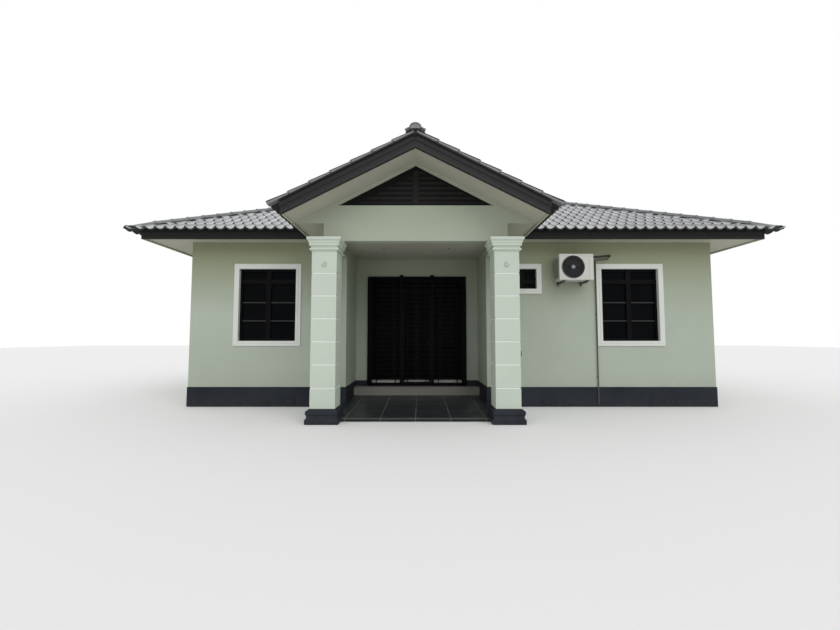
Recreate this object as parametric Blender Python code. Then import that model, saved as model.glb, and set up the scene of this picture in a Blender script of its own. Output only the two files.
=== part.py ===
# Single-storey bungalow with a hipped tile roof and a gabled entrance porch.
# Metres, +Z up. House frame: X runs along the front, Y runs into the house from the
# front wall's outer face, Z is up from the ground. The whole is then shifted along Y so
# that the origin lies at the centre of its footprint.
import math

import bmesh
import bpy
from mathutils import Vector

# General
JOINT_GAP = 0.0003          # gap kept between pieces that touch
CUT_CLEAR = 0.05            # how far a cutter passes the faces that it cuts
PITCH = math.radians(27.0)  # roof pitch
SLOPE = math.tan(PITCH)

# House body
HOUSE_WIDTH = 10.88
HOUSE_DEPTH = 9.0
WALL_THICKNESS = 0.15
FLOOR_TOP = 0.271
SOFFIT_Z = 3.414
SOFFIT_BOARD = 0.009
WALL_HEAD = 3.46            # head of the walls round the recess
CEILING_Z = 3.309

# Eaves and roof
EAVE_FRONT = 0.40           # wall face to fascia face, front and back
EAVE_SIDE = 0.80
FASCIA_TOP = 3.58
FASCIA_HEIGHT = 0.195
FASCIA_THICKNESS = 0.03
FASCIA_STEP = 0.014         # how far the upper moulding stands out
FASCIA_STEP_HEIGHT = 0.075
TILE_OVERHANG = 0.18        # tiles past the fascia face
ROOF_THICKNESS = 0.06
CAP_HALF_WIDTH = 0.13
CAP_RISE = 0.065            # crown above the mitre of the two slopes
PORCH_CAP_RISE = 0.095
CAP_OVERHANG = 0.09         # pointed end of a hip cap past the tiles, along X and Y
CAP_LEAN = 1.2              # how far that end falls back for each metre below its crown
CAP_EDGE = 0.02             # upright edge at the foot of a cap
CAP_QUARTER = 4             # flats in each half of the arch

# Porch
PORCH_X = -0.735
PORCH_HALF = 2.15           # porch centre line to its side fascia face
VERGE_Y = -2.0              # front face of the bargeboards
VERGE_TILE = 0.03           # tiles past the bargeboards
VERGE_CAP = 0.02            # ridge cap past the verge tiles
BARGE_DEPTH = 0.195         # measured square to the slope
VERGE_SOFFIT_LIP = 0.03
GABLE_Y = -1.37             # front face of the gable wall and its beam
GABLE_THICKNESS = 0.15
BEAM_BOTTOM = 3.10
BEAM_WIDTH = 0.15
COLUMN_Y = -1.39
COLUMN_HALF = 0.21
COLUMN_BASE_HALF = 0.275
COLUMN_BASE_TOP = 0.245
BASE_BLOCK_TOP = 0.080      # heights of the base's mouldings
BASE_HOLLOW_TOP = 0.122
BASE_NECK_TOP = 0.140
BASE_LIP_BOTTOM = 0.158
BASE_LIP_TOP = 0.210
BASE_NECK_OUT = 0.042       # their projections past the shaft
BASE_LIP_OUT = 0.056
BASE_TOP_OUT = 0.006
BASE_ARRIS = 0.008          # flat between the block and its hollow
CAPITAL_HEIGHT = 0.222
BEAD_OUT = 0.036            # round bead at the foot of the capital
BEAD_HEIGHT = 0.038
NECKING_OUT = 0.013
NECKING_TOP = 0.070
CAPITAL_TIERS = ((0.040, 0.082, 0.118), (0.052, 0.130, 0.156))  # projection, foot and head
CORONA_OUT = 0.076
CORONA_FOOT = 0.178
BLOCK_HEIGHT = 0.3825       # from one groove of the shaft to the next
GROOVES = 6
GROOVE_DEPTH = 0.011
GROOVE_HEIGHT = 0.026
ARC_STEPS = 5               # flats in a small moulded curve

# Recess behind the porch
RECESS_HALF = 1.458
RECESS_DEPTH = 1.25
DOORWAY_HALF = 1.15
DOORWAY_TOP = 2.85
STEP_DEPTH = 0.30
PORCH_FLOOR_FRONT_Y = -1.42
PORCH_FLOOR_FRONT_Z = 0.04
PORCH_FLOOR_BACK_Z = 0.09
PORCH_FLOOR_HALF = 1.60

# Painted band round the foot of the walls
BAND_HEIGHT = 0.402
BAND_THICKNESS = 0.012
BAND_BOTTOM = 0.001
BAND_CHAMFER = 0.008

# Louvre in the gable
LOUVRE_BASE_Z = 3.73
LOUVRE_HALF = 1.3675
LOUVRE_RISE = 0.723
LOUVRE_FRAME = 0.045
LOUVRE_DEPTH = 0.07
LOUVRE_SETBACK = 0.03       # wall face to the frame's front
LOUVRE_PITCH = 0.09
LOUVRE_BLADE = 0.008
LOUVRE_BLADE_WIDTH = 0.085
LOUVRE_BLADE_TILT = math.radians(42.0)
LOUVRE_MULLION = 0.09
LOUVRE_MULLION_INSET = 0.001

# Windows
WINDOW_WIDTH = 1.19
WINDOW_SILL = 1.345
WINDOW_HEAD = 2.855
SMALL_WIDTH = 0.60
SMALL_SILL = 2.43
SURROUND_WIDTH = 0.10
SURROUND_PROUD = 0.02
FRAME_SETBACK = 0.05        # wall face to the window frame's front
FRAME_DEPTH = 0.06
FRAME_BAR = 0.05
MULLION_BAR = 0.10          # meeting stiles of the two sashes
TRANSOM_BAR = 0.09
TRANSOM_Z = 2.59
BAR_DEPTH = 0.035           # depth of mullion and transom, in front of the glass
GLASS_THICKNESS = 0.006
LEFT_WINDOW_X = -3.84
RIGHT_WINDOW_X = 3.72
SMALL_WINDOW_X = 1.477
SIDE_WINDOW_Y = (2.3, 6.7)
BACK_WINDOW_X = (-2.9, 2.9)

# Entrance grille, on the front face of the door wall
GRILLE_HALF = 1.18
GRILLE_BOTTOM = 0.275
GRILLE_TOP = 2.885
GRILLE_BAR = 0.05
GRILLE_SIDE = 0.11          # upright bands at the two sides
GRILLE_POST = 0.07          # posts beside the leaf
GRILLE_KNOB = (0.09, 0.036)  # width and height of the block on top of each post
GRILLE_DEPTH = 0.04
GRILLE_SLAT = 0.02
GRILLE_SLAT_PITCH = 0.108
GRILLE_TRANSOM_Z = 2.53
GRILLE_KICK_Z = 0.42        # underside of the slats' lowest rail
LEAF_POST_OFFSET = 0.368    # porch centre line to each post beside the leaf
LEAF_GAP = 0.006            # round the leaf
LATCH_GAP = 0.008           # beside the leaf's free edge, where it swings past the post
LEAF_STILE = 0.035
HINGE_RADIUS = 0.010
HINGE_LENGTH = 0.05
HINGE_FORWARD = 0.012       # pin centre in front of the leaf's face
HINGE_HEIGHTS = (0.62, 1.42, 2.22)
HINGE_SEAT = 0.0005         # between the two barrels of a hinge
HINGE_PLATE = 0.006         # plate thickness
HINGE_PLATE_START = 0.004   # pin centre to the plate's near and far edges
HINGE_PLATE_END = 0.030
HINGE_BITE = 0.004          # how far a plate runs into what it is welded to
LOCK_HEIGHT = 1.30
LOCK_SIZE = (0.06, 0.05, 0.16)
LOCK_PROUD = 0.008
LOCK_EDGE = 0.005           # lock case to the leaf's free edge

# Glazed sliding doors in the doorway
SLIDER_SETBACK = 0.04
SLIDER_DEPTH = 0.09
SLIDER_FRAME = 0.05
SLIDER_STILE = 0.06
SLIDER_PANELS = 4

# Outdoor unit of the air conditioner
AC_X = 2.463
AC_WIDTH = 0.69
AC_BOTTOM = 2.56
AC_HEIGHT = 0.53
AC_DEPTH = 0.27
AC_WALL_GAP = 0.12
AC_FAN_X = -0.065           # fan centre from the unit's centre
AC_FAN_RADIUS = 0.215
AC_FAN_RECESS = 0.10
AC_CORNER = 0.015
FAN_SIDES = 40              # flats of the fan opening and its guard
GUARD_LAP = 0.015           # guard's rim past the opening
GUARD_THICKNESS = 0.012
GUARD_RINGS = (0.045, 0.085, 0.125, 0.165, 0.205)
GUARD_WIRE = 0.005
GUARD_SPOKES = 8
BRACKET_SPACING = 0.47
BRACKET_WIDTH = 0.04
BRACKET_THICKNESS = 0.004
BRACKET_WEB = 0.035         # depth of the angle's upright leg
BRACKET_FOOT = 0.065        # below the arm
BRACKET_HEAD = 0.30         # above the arm, behind the unit
BRACKET_END = 0.03          # arm past the unit's front
AC_FOOT = 0.012
AC_FOOT_HALF = 0.02         # rubber foot, along the arm
AC_FOOT_INSET = 0.05        # unit's front and back to the feet
AC_FOOT_SIDE = 0.004
PIPE_RADIUS = 0.024         # insulated pipe from the unit into the wall
PIPE_OUTLET = (0.072, 0.055)  # behind the unit's front, and below its top
PIPE_WALL_X = 3.30
PIPE_WALL_Z = 3.115
PIPE_STRAIGHT = 0.012       # straight run at each end
PIPE_SWING = 0.17           # how far each end's direction carries into the bend
DRAIN_RADIUS = 0.012
DRAIN_X = 3.004
DRAIN_CLEAR = 0.014         # wall face to the drain pipe's side
DRAIN_BOTTOM = 0.05
DRAIN_WALL_X = 3.285        # where it leaves the wall
DRAIN_WALL_Z = 3.058
DRAIN_FALL = 0.02           # along the level run
DRAIN_BEND = 0.02
DRAIN_CLIP_HEIGHTS = (0.61, 1.90, 2.45)
DRAIN_CLIP = (0.036, 0.018)  # width and height

# Ceiling lights
LIGHT_OFFSET_X = 0.54
LIGHT_Y = -0.62
LIGHT_RADIUS = 0.06
LIGHT_DEPTH = 0.012

# Values worked out from the sizes above
HALF_WIDTH = HOUSE_WIDTH / 2
FASCIA_X = HALF_WIDTH + EAVE_SIDE
FASCIA_FRONT_Y = -EAVE_FRONT
FASCIA_BACK_Y = HOUSE_DEPTH + EAVE_FRONT
MIDDLE_Y = HOUSE_DEPTH / 2
ROOF_VERTICAL = ROOF_THICKNESS / math.cos(PITCH)
TILE_X = FASCIA_X + TILE_OVERHANG
TILE_FRONT_Y = FASCIA_FRONT_Y - TILE_OVERHANG
TILE_BACK_Y = FASCIA_BACK_Y + TILE_OVERHANG
HIP_RUN = MIDDLE_Y - TILE_FRONT_Y
RIDGE_HALF = TILE_X - HIP_RUN
PORCH_APEX_Z = FASCIA_TOP + PORCH_HALF * SLOPE
PORCH_TILE_HALF = PORCH_HALF + TILE_OVERHANG
VALLEY_APEX_Y = FASCIA_FRONT_Y + PORCH_HALF
VERGE_TILE_Y = VERGE_Y - VERGE_TILE
BARGE_VERTICAL = BARGE_DEPTH / math.cos(PITCH)
COLUMN_OFFSET = RECESS_HALF + BEAM_WIDTH / 2
BEAM_OUTER = COLUMN_OFFSET + BEAM_WIDTH / 2
GABLE_BACK_Y = GABLE_Y + GABLE_THICKNESS
DOOR_WALL_Y = RECESS_DEPTH
STEP_FRONT_Y = DOOR_WALL_Y - STEP_DEPTH
FRONT_REACH = VERGE_TILE_Y - VERGE_CAP
BACK_REACH = TILE_BACK_Y + CAP_OVERHANG
CENTRE_Y = (FRONT_REACH + BACK_REACH) / 2


def clear_scene():
    for old in list(bpy.data.objects):
        bpy.data.objects.remove(old, do_unlink=True)


def material(name, colour, roughness=0.8, metallic=0.0):
    made = bpy.data.materials.new(name)
    made.use_nodes = True
    shader = made.node_tree.nodes["Principled BSDF"]
    shader.inputs["Base Color"].default_value = (*colour, 1.0)
    shader.inputs["Roughness"].default_value = roughness
    shader.inputs["Metallic"].default_value = metallic
    return made


def empty(name, location, parent=None):
    guide = bpy.data.objects.new(name, None)
    guide.location = location
    guide.parent = parent
    bpy.context.collection.objects.link(guide)
    return guide


def finish_mesh(name, shape, finish, parent, location=(0, 0, 0)):
    """Turns a bmesh of closed bodies into a named object with one material."""
    bmesh.ops.recalc_face_normals(shape, faces=shape.faces[:])
    mesh = bpy.data.meshes.new(name)
    shape.to_mesh(mesh)
    shape.free()
    made = bpy.data.objects.new(name, mesh)
    made.location = location
    made.parent = parent
    if finish:
        mesh.materials.append(finish)
    bpy.context.collection.objects.link(made)
    return made


def add_rings(shape, rings):
    """Closes a stack of equal rings of points into one solid."""
    loops = [[shape.verts.new(point) for point in ring] for ring in rings]
    count = len(loops[0])
    for lower, upper in zip(loops, loops[1:]):
        for i in range(count):
            j = (i + 1) % count
            shape.faces.new((lower[i], lower[j], upper[j], upper[i]))
    shape.faces.new(loops[0])
    shape.faces.new(loops[-1])


def add_box(shape, low, high):
    (x0, y0, z0), (x1, y1, z1) = low, high
    corners = ((x0, y0), (x1, y0), (x1, y1), (x0, y1))
    add_rings(shape, [[(x, y, z) for x, y in corners] for z in (z0, z1)])


def boxes(name, spans, finish, parent, location=(0, 0, 0)):
    shape = bmesh.new()
    for low, high in spans:
        add_box(shape, low, high)
    return finish_mesh(name, shape, finish, parent, location)


def inset(outline, distance):
    """Moves each side of a plan outline, given anticlockwise, inwards."""
    moved = []
    count = len(outline)
    for i in range(count):
        before = Vector(outline[i - 1])
        here = Vector(outline[i])
        after = Vector(outline[(i + 1) % count])
        into = (here - before).normalized()
        out = (after - here).normalized()
        normal_in = Vector((-into.y, into.x))
        normal_out = Vector((-out.y, out.x))
        bisector = (normal_in + normal_out).normalized()
        moved.append(tuple(here + bisector * (distance / bisector.dot(normal_in))))
    return moved


def add_slab(shape, outline, bottom, top):
    """A plan outline between two heights, each a number or a function of x and y."""
    low = bottom if callable(bottom) else (lambda x, y: bottom)
    high = top if callable(top) else (lambda x, y: top)
    seated = inset(outline, JOINT_GAP / 2)
    add_rings(shape, [
        [(x, y, low(x, y)) for x, y in seated],
        [(x, y, high(x, y)) for x, y in seated],
    ])


def slabs(name, outlines, bottom, top, finish, parent):
    shape = bmesh.new()
    for outline in outlines:
        add_slab(shape, outline, bottom, top)
    return finish_mesh(name, shape, finish, parent)


def rectangle(x0, y0, x1, y1):
    return [(x0, y0), (x1, y0), (x1, y1), (x0, y1)]


def add_sweep(shape, profile, path, before=None, after=None):
    """Sweeps a profile of (out, up) points along a plan path, out being to the left of
    travel. The points before and after only set the mitres of the two ends."""
    points = [Vector(point) for point in path]
    trim = JOINT_GAP * 0.75
    heading = [(b - a).normalized() for a, b in zip(points, points[1:])]
    arriving = (points[0] - Vector(before)).normalized() if before else heading[0]
    leaving = (Vector(after) - points[-1]).normalized() if after else heading[-1]
    points[0] = points[0] + heading[0] * trim
    points[-1] = points[-1] - heading[-1] * trim
    rings = []
    for point, into, out_of in zip(points, [arriving] + heading, heading + [leaving]):
        left_in = Vector((-into.y, into.x))
        left_out = Vector((-out_of.y, out_of.x))
        mitre = (left_in + left_out) / (1 + left_in.dot(left_out))
        rings.append([(*(point + mitre * out), up) for out, up in profile])
    add_rings(shape, rings)


def sweep(name, profile, path, finish, parent, before=None, after=None):
    shape = bmesh.new()
    add_sweep(shape, profile, path, before, after)
    return finish_mesh(name, shape, finish, parent)


def as_guide(made):
    made.hide_render = True
    made.display_type = "WIRE"
    return made


def cutter(name, spans, parent):
    return as_guide(boxes(name, spans, None, parent))


def boolean(target, other, operation="DIFFERENCE"):
    step = target.modifiers.new(operation.lower(), "BOOLEAN")
    step.operation = operation
    step.solver = "EXACT"
    step.object = other


def main_roof_under(x, y):
    """Underside of the main roof above a plan point."""
    inward = min(y - FASCIA_FRONT_Y, FASCIA_BACK_Y - y, FASCIA_X - abs(x))
    return FASCIA_TOP + inward * SLOPE


def porch_roof_under(x, y):
    return PORCH_APEX_Z - abs(x - PORCH_X) * SLOPE


def window_spans(width, sill, head, centre):
    return centre - width / 2, centre + width / 2, sill, head


FRONT_WINDOWS = (
    window_spans(WINDOW_WIDTH, WINDOW_SILL, WINDOW_HEAD, LEFT_WINDOW_X),
    window_spans(SMALL_WIDTH, SMALL_SILL, WINDOW_HEAD, SMALL_WINDOW_X),
    window_spans(WINDOW_WIDTH, WINDOW_SILL, WINDOW_HEAD, RIGHT_WINDOW_X),
)
SIDE_WINDOWS = tuple(window_spans(WINDOW_WIDTH, WINDOW_SILL, WINDOW_HEAD, y) for y in SIDE_WINDOW_Y)
BACK_WINDOWS = tuple(window_spans(WINDOW_WIDTH, WINDOW_SILL, WINDOW_HEAD, x) for x in BACK_WINDOW_X)


def front_face(along, depth, up):
    """Point on the front wall: along +X, depth into the house."""
    return (along, depth, up)


def back_face(along, depth, up):
    return (along, HOUSE_DEPTH - depth, up)


def left_face(along, depth, up):
    return (-HALF_WIDTH + depth, along, up)


def right_face(along, depth, up):
    return (HALF_WIDTH - depth, along, up)


def placed_box(face, along0, along1, depth0, depth1, up0, up1):
    """Corners of a box given along, into and up a wall."""
    first = face(along0, depth0, up0)
    second = face(along1, depth1, up1)
    low = tuple(min(a, b) for a, b in zip(first, second))
    high = tuple(max(a, b) for a, b in zip(first, second))
    return low, high


def window_holes(face, windows):
    """Cutter boxes that pass both faces of a wall."""
    return [
        placed_box(face, a0, a1, -CUT_CLEAR, WALL_THICKNESS + CUT_CLEAR, sill, head)
        for a0, a1, sill, head in windows
    ]


def surround_blocks(face, windows):
    """Raised plaster round each window, let into the wall that carries it."""
    wide = SURROUND_WIDTH
    return [
        placed_box(face, a0 - wide, a1 + wide, -SURROUND_PROUD, WALL_THICKNESS / 2,
                   sill - wide, head + wide)
        for a0, a1, sill, head in windows
    ]


def open_wall(wall, face, windows, house):
    """Adds the window surrounds to a wall and cuts its windows through."""
    name = wall.name
    boolean(wall, as_guide(boxes(name + "_surrounds", surround_blocks(face, windows), None, house)),
            "UNION")
    boolean(wall, cutter(name + "_holes", window_holes(face, windows), house))


def make_walls(house, plaster):
    wall_top = main_roof_under(0, 0) - JOINT_GAP
    recess_left = PORCH_X - RECESS_HALF
    recess_right = PORCH_X + RECESS_HALF
    inner = WALL_THICKNESS

    left = boxes("front_wall_left", [((-HALF_WIDTH, 0, 0), (recess_left, inner, wall_top))],
                 plaster, house)
    open_wall(left, front_face, FRONT_WINDOWS[:1], house)
    right = boxes("front_wall_right", [((recess_right, 0, 0), (HALF_WIDTH, inner, wall_top))],
                  plaster, house)
    open_wall(right, front_face, FRONT_WINDOWS[1:], house)
    back = boxes("back_wall",
                 [((-HALF_WIDTH, HOUSE_DEPTH - inner, 0), (HALF_WIDTH, HOUSE_DEPTH, wall_top))],
                 plaster, house)
    open_wall(back, back_face, BACK_WINDOWS, house)

    # The side walls rise to the hip ends and fall with the front and back slopes.
    side_top = main_roof_under(HALF_WIDTH, MIDDLE_Y) - JOINT_GAP
    knee = EAVE_SIDE - EAVE_FRONT
    low_y = inner + JOINT_GAP
    high_y = HOUSE_DEPTH - inner - JOINT_GAP
    end_top = main_roof_under(0, low_y) - JOINT_GAP
    outline = [(low_y, 0), (high_y, 0), (high_y, end_top), (HOUSE_DEPTH - knee, side_top),
               (knee, side_top), (low_y, end_top)]
    for name, side in (("left_wall", -1), ("right_wall", 1)):
        shape = bmesh.new()
        faces = (side * HALF_WIDTH, side * (HALF_WIDTH - inner))
        add_rings(shape, [[(x, y, z) for y, z in outline] for x in faces])
        wall = finish_mesh(name, shape, plaster, house)
        open_wall(wall, left_face if side < 0 else right_face, SIDE_WINDOWS, house)

    # Each side of the recess is one angle of wall: its side and the part beside the door.
    door_back = DOOR_WALL_Y + inner
    door_left = PORCH_X - DOORWAY_HALF
    door_right = PORCH_X + DOORWAY_HALF
    slabs("recess_wall_left", [[
        (recess_left - inner, inner), (recess_left, inner), (recess_left, DOOR_WALL_Y),
        (door_left, DOOR_WALL_Y), (door_left, door_back), (recess_left - inner, door_back),
    ]], 0.0, WALL_HEAD, plaster, house)
    slabs("recess_wall_right", [[
        (recess_right + inner, inner), (recess_right + inner, door_back), (door_right, door_back),
        (door_right, DOOR_WALL_Y), (recess_right, DOOR_WALL_Y), (recess_right, inner),
    ]], 0.0, WALL_HEAD, plaster, house)
    boxes("door_wall_top", [
        ((door_left + JOINT_GAP, DOOR_WALL_Y, DOORWAY_TOP),
         (door_right - JOINT_GAP, door_back, WALL_HEAD)),
    ], plaster, house)


def make_band(house, charcoal):
    """Painted render band that follows the foot of every outside wall."""
    near, far = JOINT_GAP, BAND_THICKNESS
    profile = [(near, BAND_BOTTOM), (far, BAND_BOTTOM), (far, BAND_HEIGHT - BAND_CHAMFER),
               (near, BAND_HEIGHT)]
    recess_left = PORCH_X - RECESS_HALF
    recess_right = PORCH_X + RECESS_HALF
    path = [
        (PORCH_X - GRILLE_HALF, DOOR_WALL_Y), (recess_left, DOOR_WALL_Y), (recess_left, 0),
        (-HALF_WIDTH, 0), (-HALF_WIDTH, HOUSE_DEPTH), (HALF_WIDTH, HOUSE_DEPTH),
        (HALF_WIDTH, 0), (recess_right, 0), (recess_right, DOOR_WALL_Y),
        (PORCH_X + GRILLE_HALF, DOOR_WALL_Y),
    ]
    sweep("plinth_band", profile, path, charcoal, house)


def make_floors(house, concrete, tile):
    inner = WALL_THICKNESS
    wide = RECESS_HALF + inner
    door_back = DOOR_WALL_Y + inner
    left, right = PORCH_X - wide, PORCH_X + wide
    slab = [
        (-HALF_WIDTH + inner, inner), (left, inner), (left, door_back),
        (PORCH_X - DOORWAY_HALF, door_back), (PORCH_X - DOORWAY_HALF, DOOR_WALL_Y),
        (PORCH_X + DOORWAY_HALF, DOOR_WALL_Y), (PORCH_X + DOORWAY_HALF, door_back),
        (right, door_back), (right, inner), (HALF_WIDTH - inner, inner),
        (HALF_WIDTH - inner, HOUSE_DEPTH - inner), (-HALF_WIDTH + inner, HOUSE_DEPTH - inner),
    ]
    slabs("floor_slab", [inset(slab, JOINT_GAP / 2)], 0.0, FLOOR_TOP, concrete, house)

    clear = BAND_THICKNESS + JOINT_GAP
    narrow = COLUMN_OFFSET - COLUMN_BASE_HALF - JOINT_GAP
    base_back = COLUMN_Y + COLUMN_BASE_HALF + JOINT_GAP
    recess = RECESS_HALF - clear
    fall = (PORCH_FLOOR_BACK_Z - PORCH_FLOOR_FRONT_Z) / (STEP_FRONT_Y - PORCH_FLOOR_FRONT_Y)
    half_outline = [
        (narrow, PORCH_FLOOR_FRONT_Y), (narrow, base_back), (PORCH_FLOOR_HALF, base_back),
        (PORCH_FLOOR_HALF, -clear), (recess, -clear), (recess, STEP_FRONT_Y),
    ]
    outline = [(PORCH_X + x, y) for x, y in half_outline]
    outline += [(PORCH_X - x, y) for x, y in reversed(half_outline)]
    slabs("porch_floor", [outline], 0.0,
          lambda x, y: PORCH_FLOOR_FRONT_Z + (y - PORCH_FLOOR_FRONT_Y) * fall, tile, house)

    back = DOOR_WALL_Y - clear
    step = [
        (recess, STEP_FRONT_Y), (recess, back), (DOORWAY_HALF, back), (DOORWAY_HALF, DOOR_WALL_Y),
    ]
    outline = [(PORCH_X + x, y) for x, y in step]
    outline += [(PORCH_X - x, y) for x, y in reversed(step)]
    slabs("door_step", [outline], 0.0, FLOOR_TOP, concrete, house)


def square_turning(name, profile, finish, parent, location):
    """A profile of (half width, height) points run round the four sides of a square."""
    shape = bmesh.new()
    rings = [[(-h, -h, z), (h, -h, z), (h, h, z), (-h, h, z)] for h, z in profile]
    add_rings(shape, rings)
    return finish_mesh(name, shape, finish, parent, location)


def column_profile():
    """Grooved shaft and tiered capital, from the base's top up to the beam."""
    capital_z = BEAM_BOTTOM - CAPITAL_HEIGHT
    shaft = [(COLUMN_HALF, COLUMN_BASE_TOP)]
    for i in reversed(range(1, GROOVES + 1)):
        z = capital_z - i * BLOCK_HEIGHT
        shaft += [(COLUMN_HALF, z - GROOVE_HEIGHT / 2), (COLUMN_HALF - GROOVE_DEPTH, z),
                  (COLUMN_HALF, z + GROOVE_HEIGHT / 2)]
    shaft.append((COLUMN_HALF, capital_z))

    capital = []
    radius = BEAD_HEIGHT / 2
    for i in range(ARC_STEPS + 1):
        turn = math.pi * (i / ARC_STEPS - 0.5)
        capital.append((COLUMN_HALF + BEAD_OUT - radius * (1 - math.cos(turn)),
                        capital_z + radius * (1 + math.sin(turn))))
    capital += [(COLUMN_HALF + NECKING_OUT, capital_z + BEAD_HEIGHT),
                (COLUMN_HALF + NECKING_OUT, capital_z + NECKING_TOP)]
    for out, foot, head in CAPITAL_TIERS:
        capital += [(COLUMN_HALF + out, capital_z + foot), (COLUMN_HALF + out, capital_z + head)]
    capital += [(COLUMN_HALF + CORONA_OUT, capital_z + CORONA_FOOT),
                (COLUMN_HALF + CORONA_OUT, BEAM_BOTTOM - JOINT_GAP)]
    return shaft + capital


def base_profile():
    """Moulded foot: a plain block, a hollow, a lip and a sloped top."""
    block = COLUMN_BASE_HALF
    neck = COLUMN_HALF + BASE_NECK_OUT
    lip = COLUMN_HALF + BASE_LIP_OUT
    profile = [(block, 0.0), (block, BASE_BLOCK_TOP)]
    for i in range(ARC_STEPS + 1):
        turn = math.pi / 2 * i / ARC_STEPS
        profile.append((neck + (block - BASE_ARRIS - neck) * (1 - math.sin(turn)),
                        BASE_HOLLOW_TOP - (BASE_HOLLOW_TOP - BASE_BLOCK_TOP) * math.cos(turn)))
    profile += [(neck, BASE_NECK_TOP), (lip, BASE_LIP_BOTTOM), (lip, BASE_LIP_TOP),
                (COLUMN_HALF + BASE_TOP_OUT, COLUMN_BASE_TOP)]
    return profile


def make_columns(house, pale):
    for name, side in (("left_column", -1), ("right_column", 1)):
        place = (PORCH_X + side * COLUMN_OFFSET, COLUMN_Y, 0)
        square_turning(name, base_profile() + column_profile(), pale, house, place)


def louvre_triangle(shrink):
    """Apex and foot corners of the louvre opening, moved in from each side."""
    slope = LOUVRE_RISE / LOUVRE_HALF
    drop = shrink * math.sqrt(1 + slope * slope)
    base = LOUVRE_BASE_Z + shrink
    apex = LOUVRE_BASE_Z + LOUVRE_RISE - drop
    half = (apex - base) / slope
    return half, base, apex


def triangle_prism(name, shrink, y0, y1, finish, parent):
    half, base, apex = louvre_triangle(shrink)
    corners = ((PORCH_X - half, base), (PORCH_X + half, base), (PORCH_X, apex))
    shape = bmesh.new()
    add_rings(shape, [[(x, y, z) for x, z in corners] for y in (y0, y1)])
    return finish_mesh(name, shape, finish, parent)


def make_porch_walls(house, plaster):
    side = PORCH_HALF - FASCIA_THICKNESS - JOINT_GAP
    top = PORCH_APEX_Z - JOINT_GAP
    half_outline = [(BEAM_OUTER, BEAM_BOTTOM), (BEAM_OUTER, SOFFIT_Z), (side, SOFFIT_Z),
                    (side, top - side * SLOPE)]
    outline = [(PORCH_X + x, z) for x, z in half_outline] + [(PORCH_X, top)]
    outline += [(PORCH_X - x, z) for x, z in reversed(half_outline)]
    shape = bmesh.new()
    add_rings(shape, [[(x, y, z) for x, z in outline] for y in (GABLE_Y, GABLE_BACK_Y)])
    gable = finish_mesh("gable_wall", shape, plaster, house)
    hole = triangle_prism("cut_louvre", 0, GABLE_Y - CUT_CLEAR, GABLE_BACK_Y + CUT_CLEAR, None, house)
    boolean(gable, as_guide(hole))

    beam_top = porch_roof_under(PORCH_X + BEAM_OUTER, 0) - JOINT_GAP
    for name, side in (("porch_beam_left", -1), ("porch_beam_right", 1)):
        edges = sorted((PORCH_X + side * RECESS_HALF, PORCH_X + side * BEAM_OUTER))
        boxes(name, [((edges[0], GABLE_BACK_Y + JOINT_GAP, BEAM_BOTTOM),
                      (edges[1], -JOINT_GAP, beam_top))], plaster, house)


def make_louvre(house, dark):
    """Triangular vent: a frame, a flat mullion and sloping blades cut to the gable."""
    front = GABLE_Y + LOUVRE_SETBACK
    back = front + LOUVRE_DEPTH
    frame = triangle_prism("gable_louvre", JOINT_GAP, front, back, dark, house)
    opening = triangle_prism("cut_louvre_frame", LOUVRE_FRAME, front - CUT_CLEAR, back + CUT_CLEAR,
                             None, house)
    boolean(frame, as_guide(opening))

    shape = bmesh.new()
    half, base, apex = louvre_triangle(LOUVRE_FRAME / 2)
    rows = int((apex - base) / LOUVRE_PITCH)
    across = LOUVRE_BLADE_WIDTH * math.cos(LOUVRE_BLADE_TILT)
    rise = LOUVRE_BLADE_WIDTH * math.sin(LOUVRE_BLADE_TILT)
    thick = LOUVRE_BLADE / math.cos(LOUVRE_BLADE_TILT)
    blade_y = front + (LOUVRE_DEPTH - across) / 2
    for row in range(rows):
        z = base + LOUVRE_FRAME / 2 + row * LOUVRE_PITCH
        section = [(blade_y, z), (blade_y + across, z + rise), (blade_y + across, z + rise + thick),
                   (blade_y, z + thick)]
        add_rings(shape, [[(PORCH_X + x, y, zz) for y, zz in section] for x in (-half, half)])
    blades = as_guide(finish_mesh("louvre_blades", shape, dark, house))
    bounds = triangle_prism("louvre_bounds", LOUVRE_FRAME / 2, front - CUT_CLEAR, back + CUT_CLEAR,
                            None, house)
    boolean(blades, as_guide(bounds), "INTERSECT")
    boolean(frame, blades, "UNION")

    mullion_top = apex - LOUVRE_FRAME
    mullion = boxes("louvre_mullion", [
        ((PORCH_X - LOUVRE_MULLION / 2, front + LOUVRE_MULLION_INSET, base),
         (PORCH_X + LOUVRE_MULLION / 2, back - LOUVRE_MULLION_INSET, mullion_top)),
    ], dark, house)
    boolean(frame, as_guide(mullion), "UNION")


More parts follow.
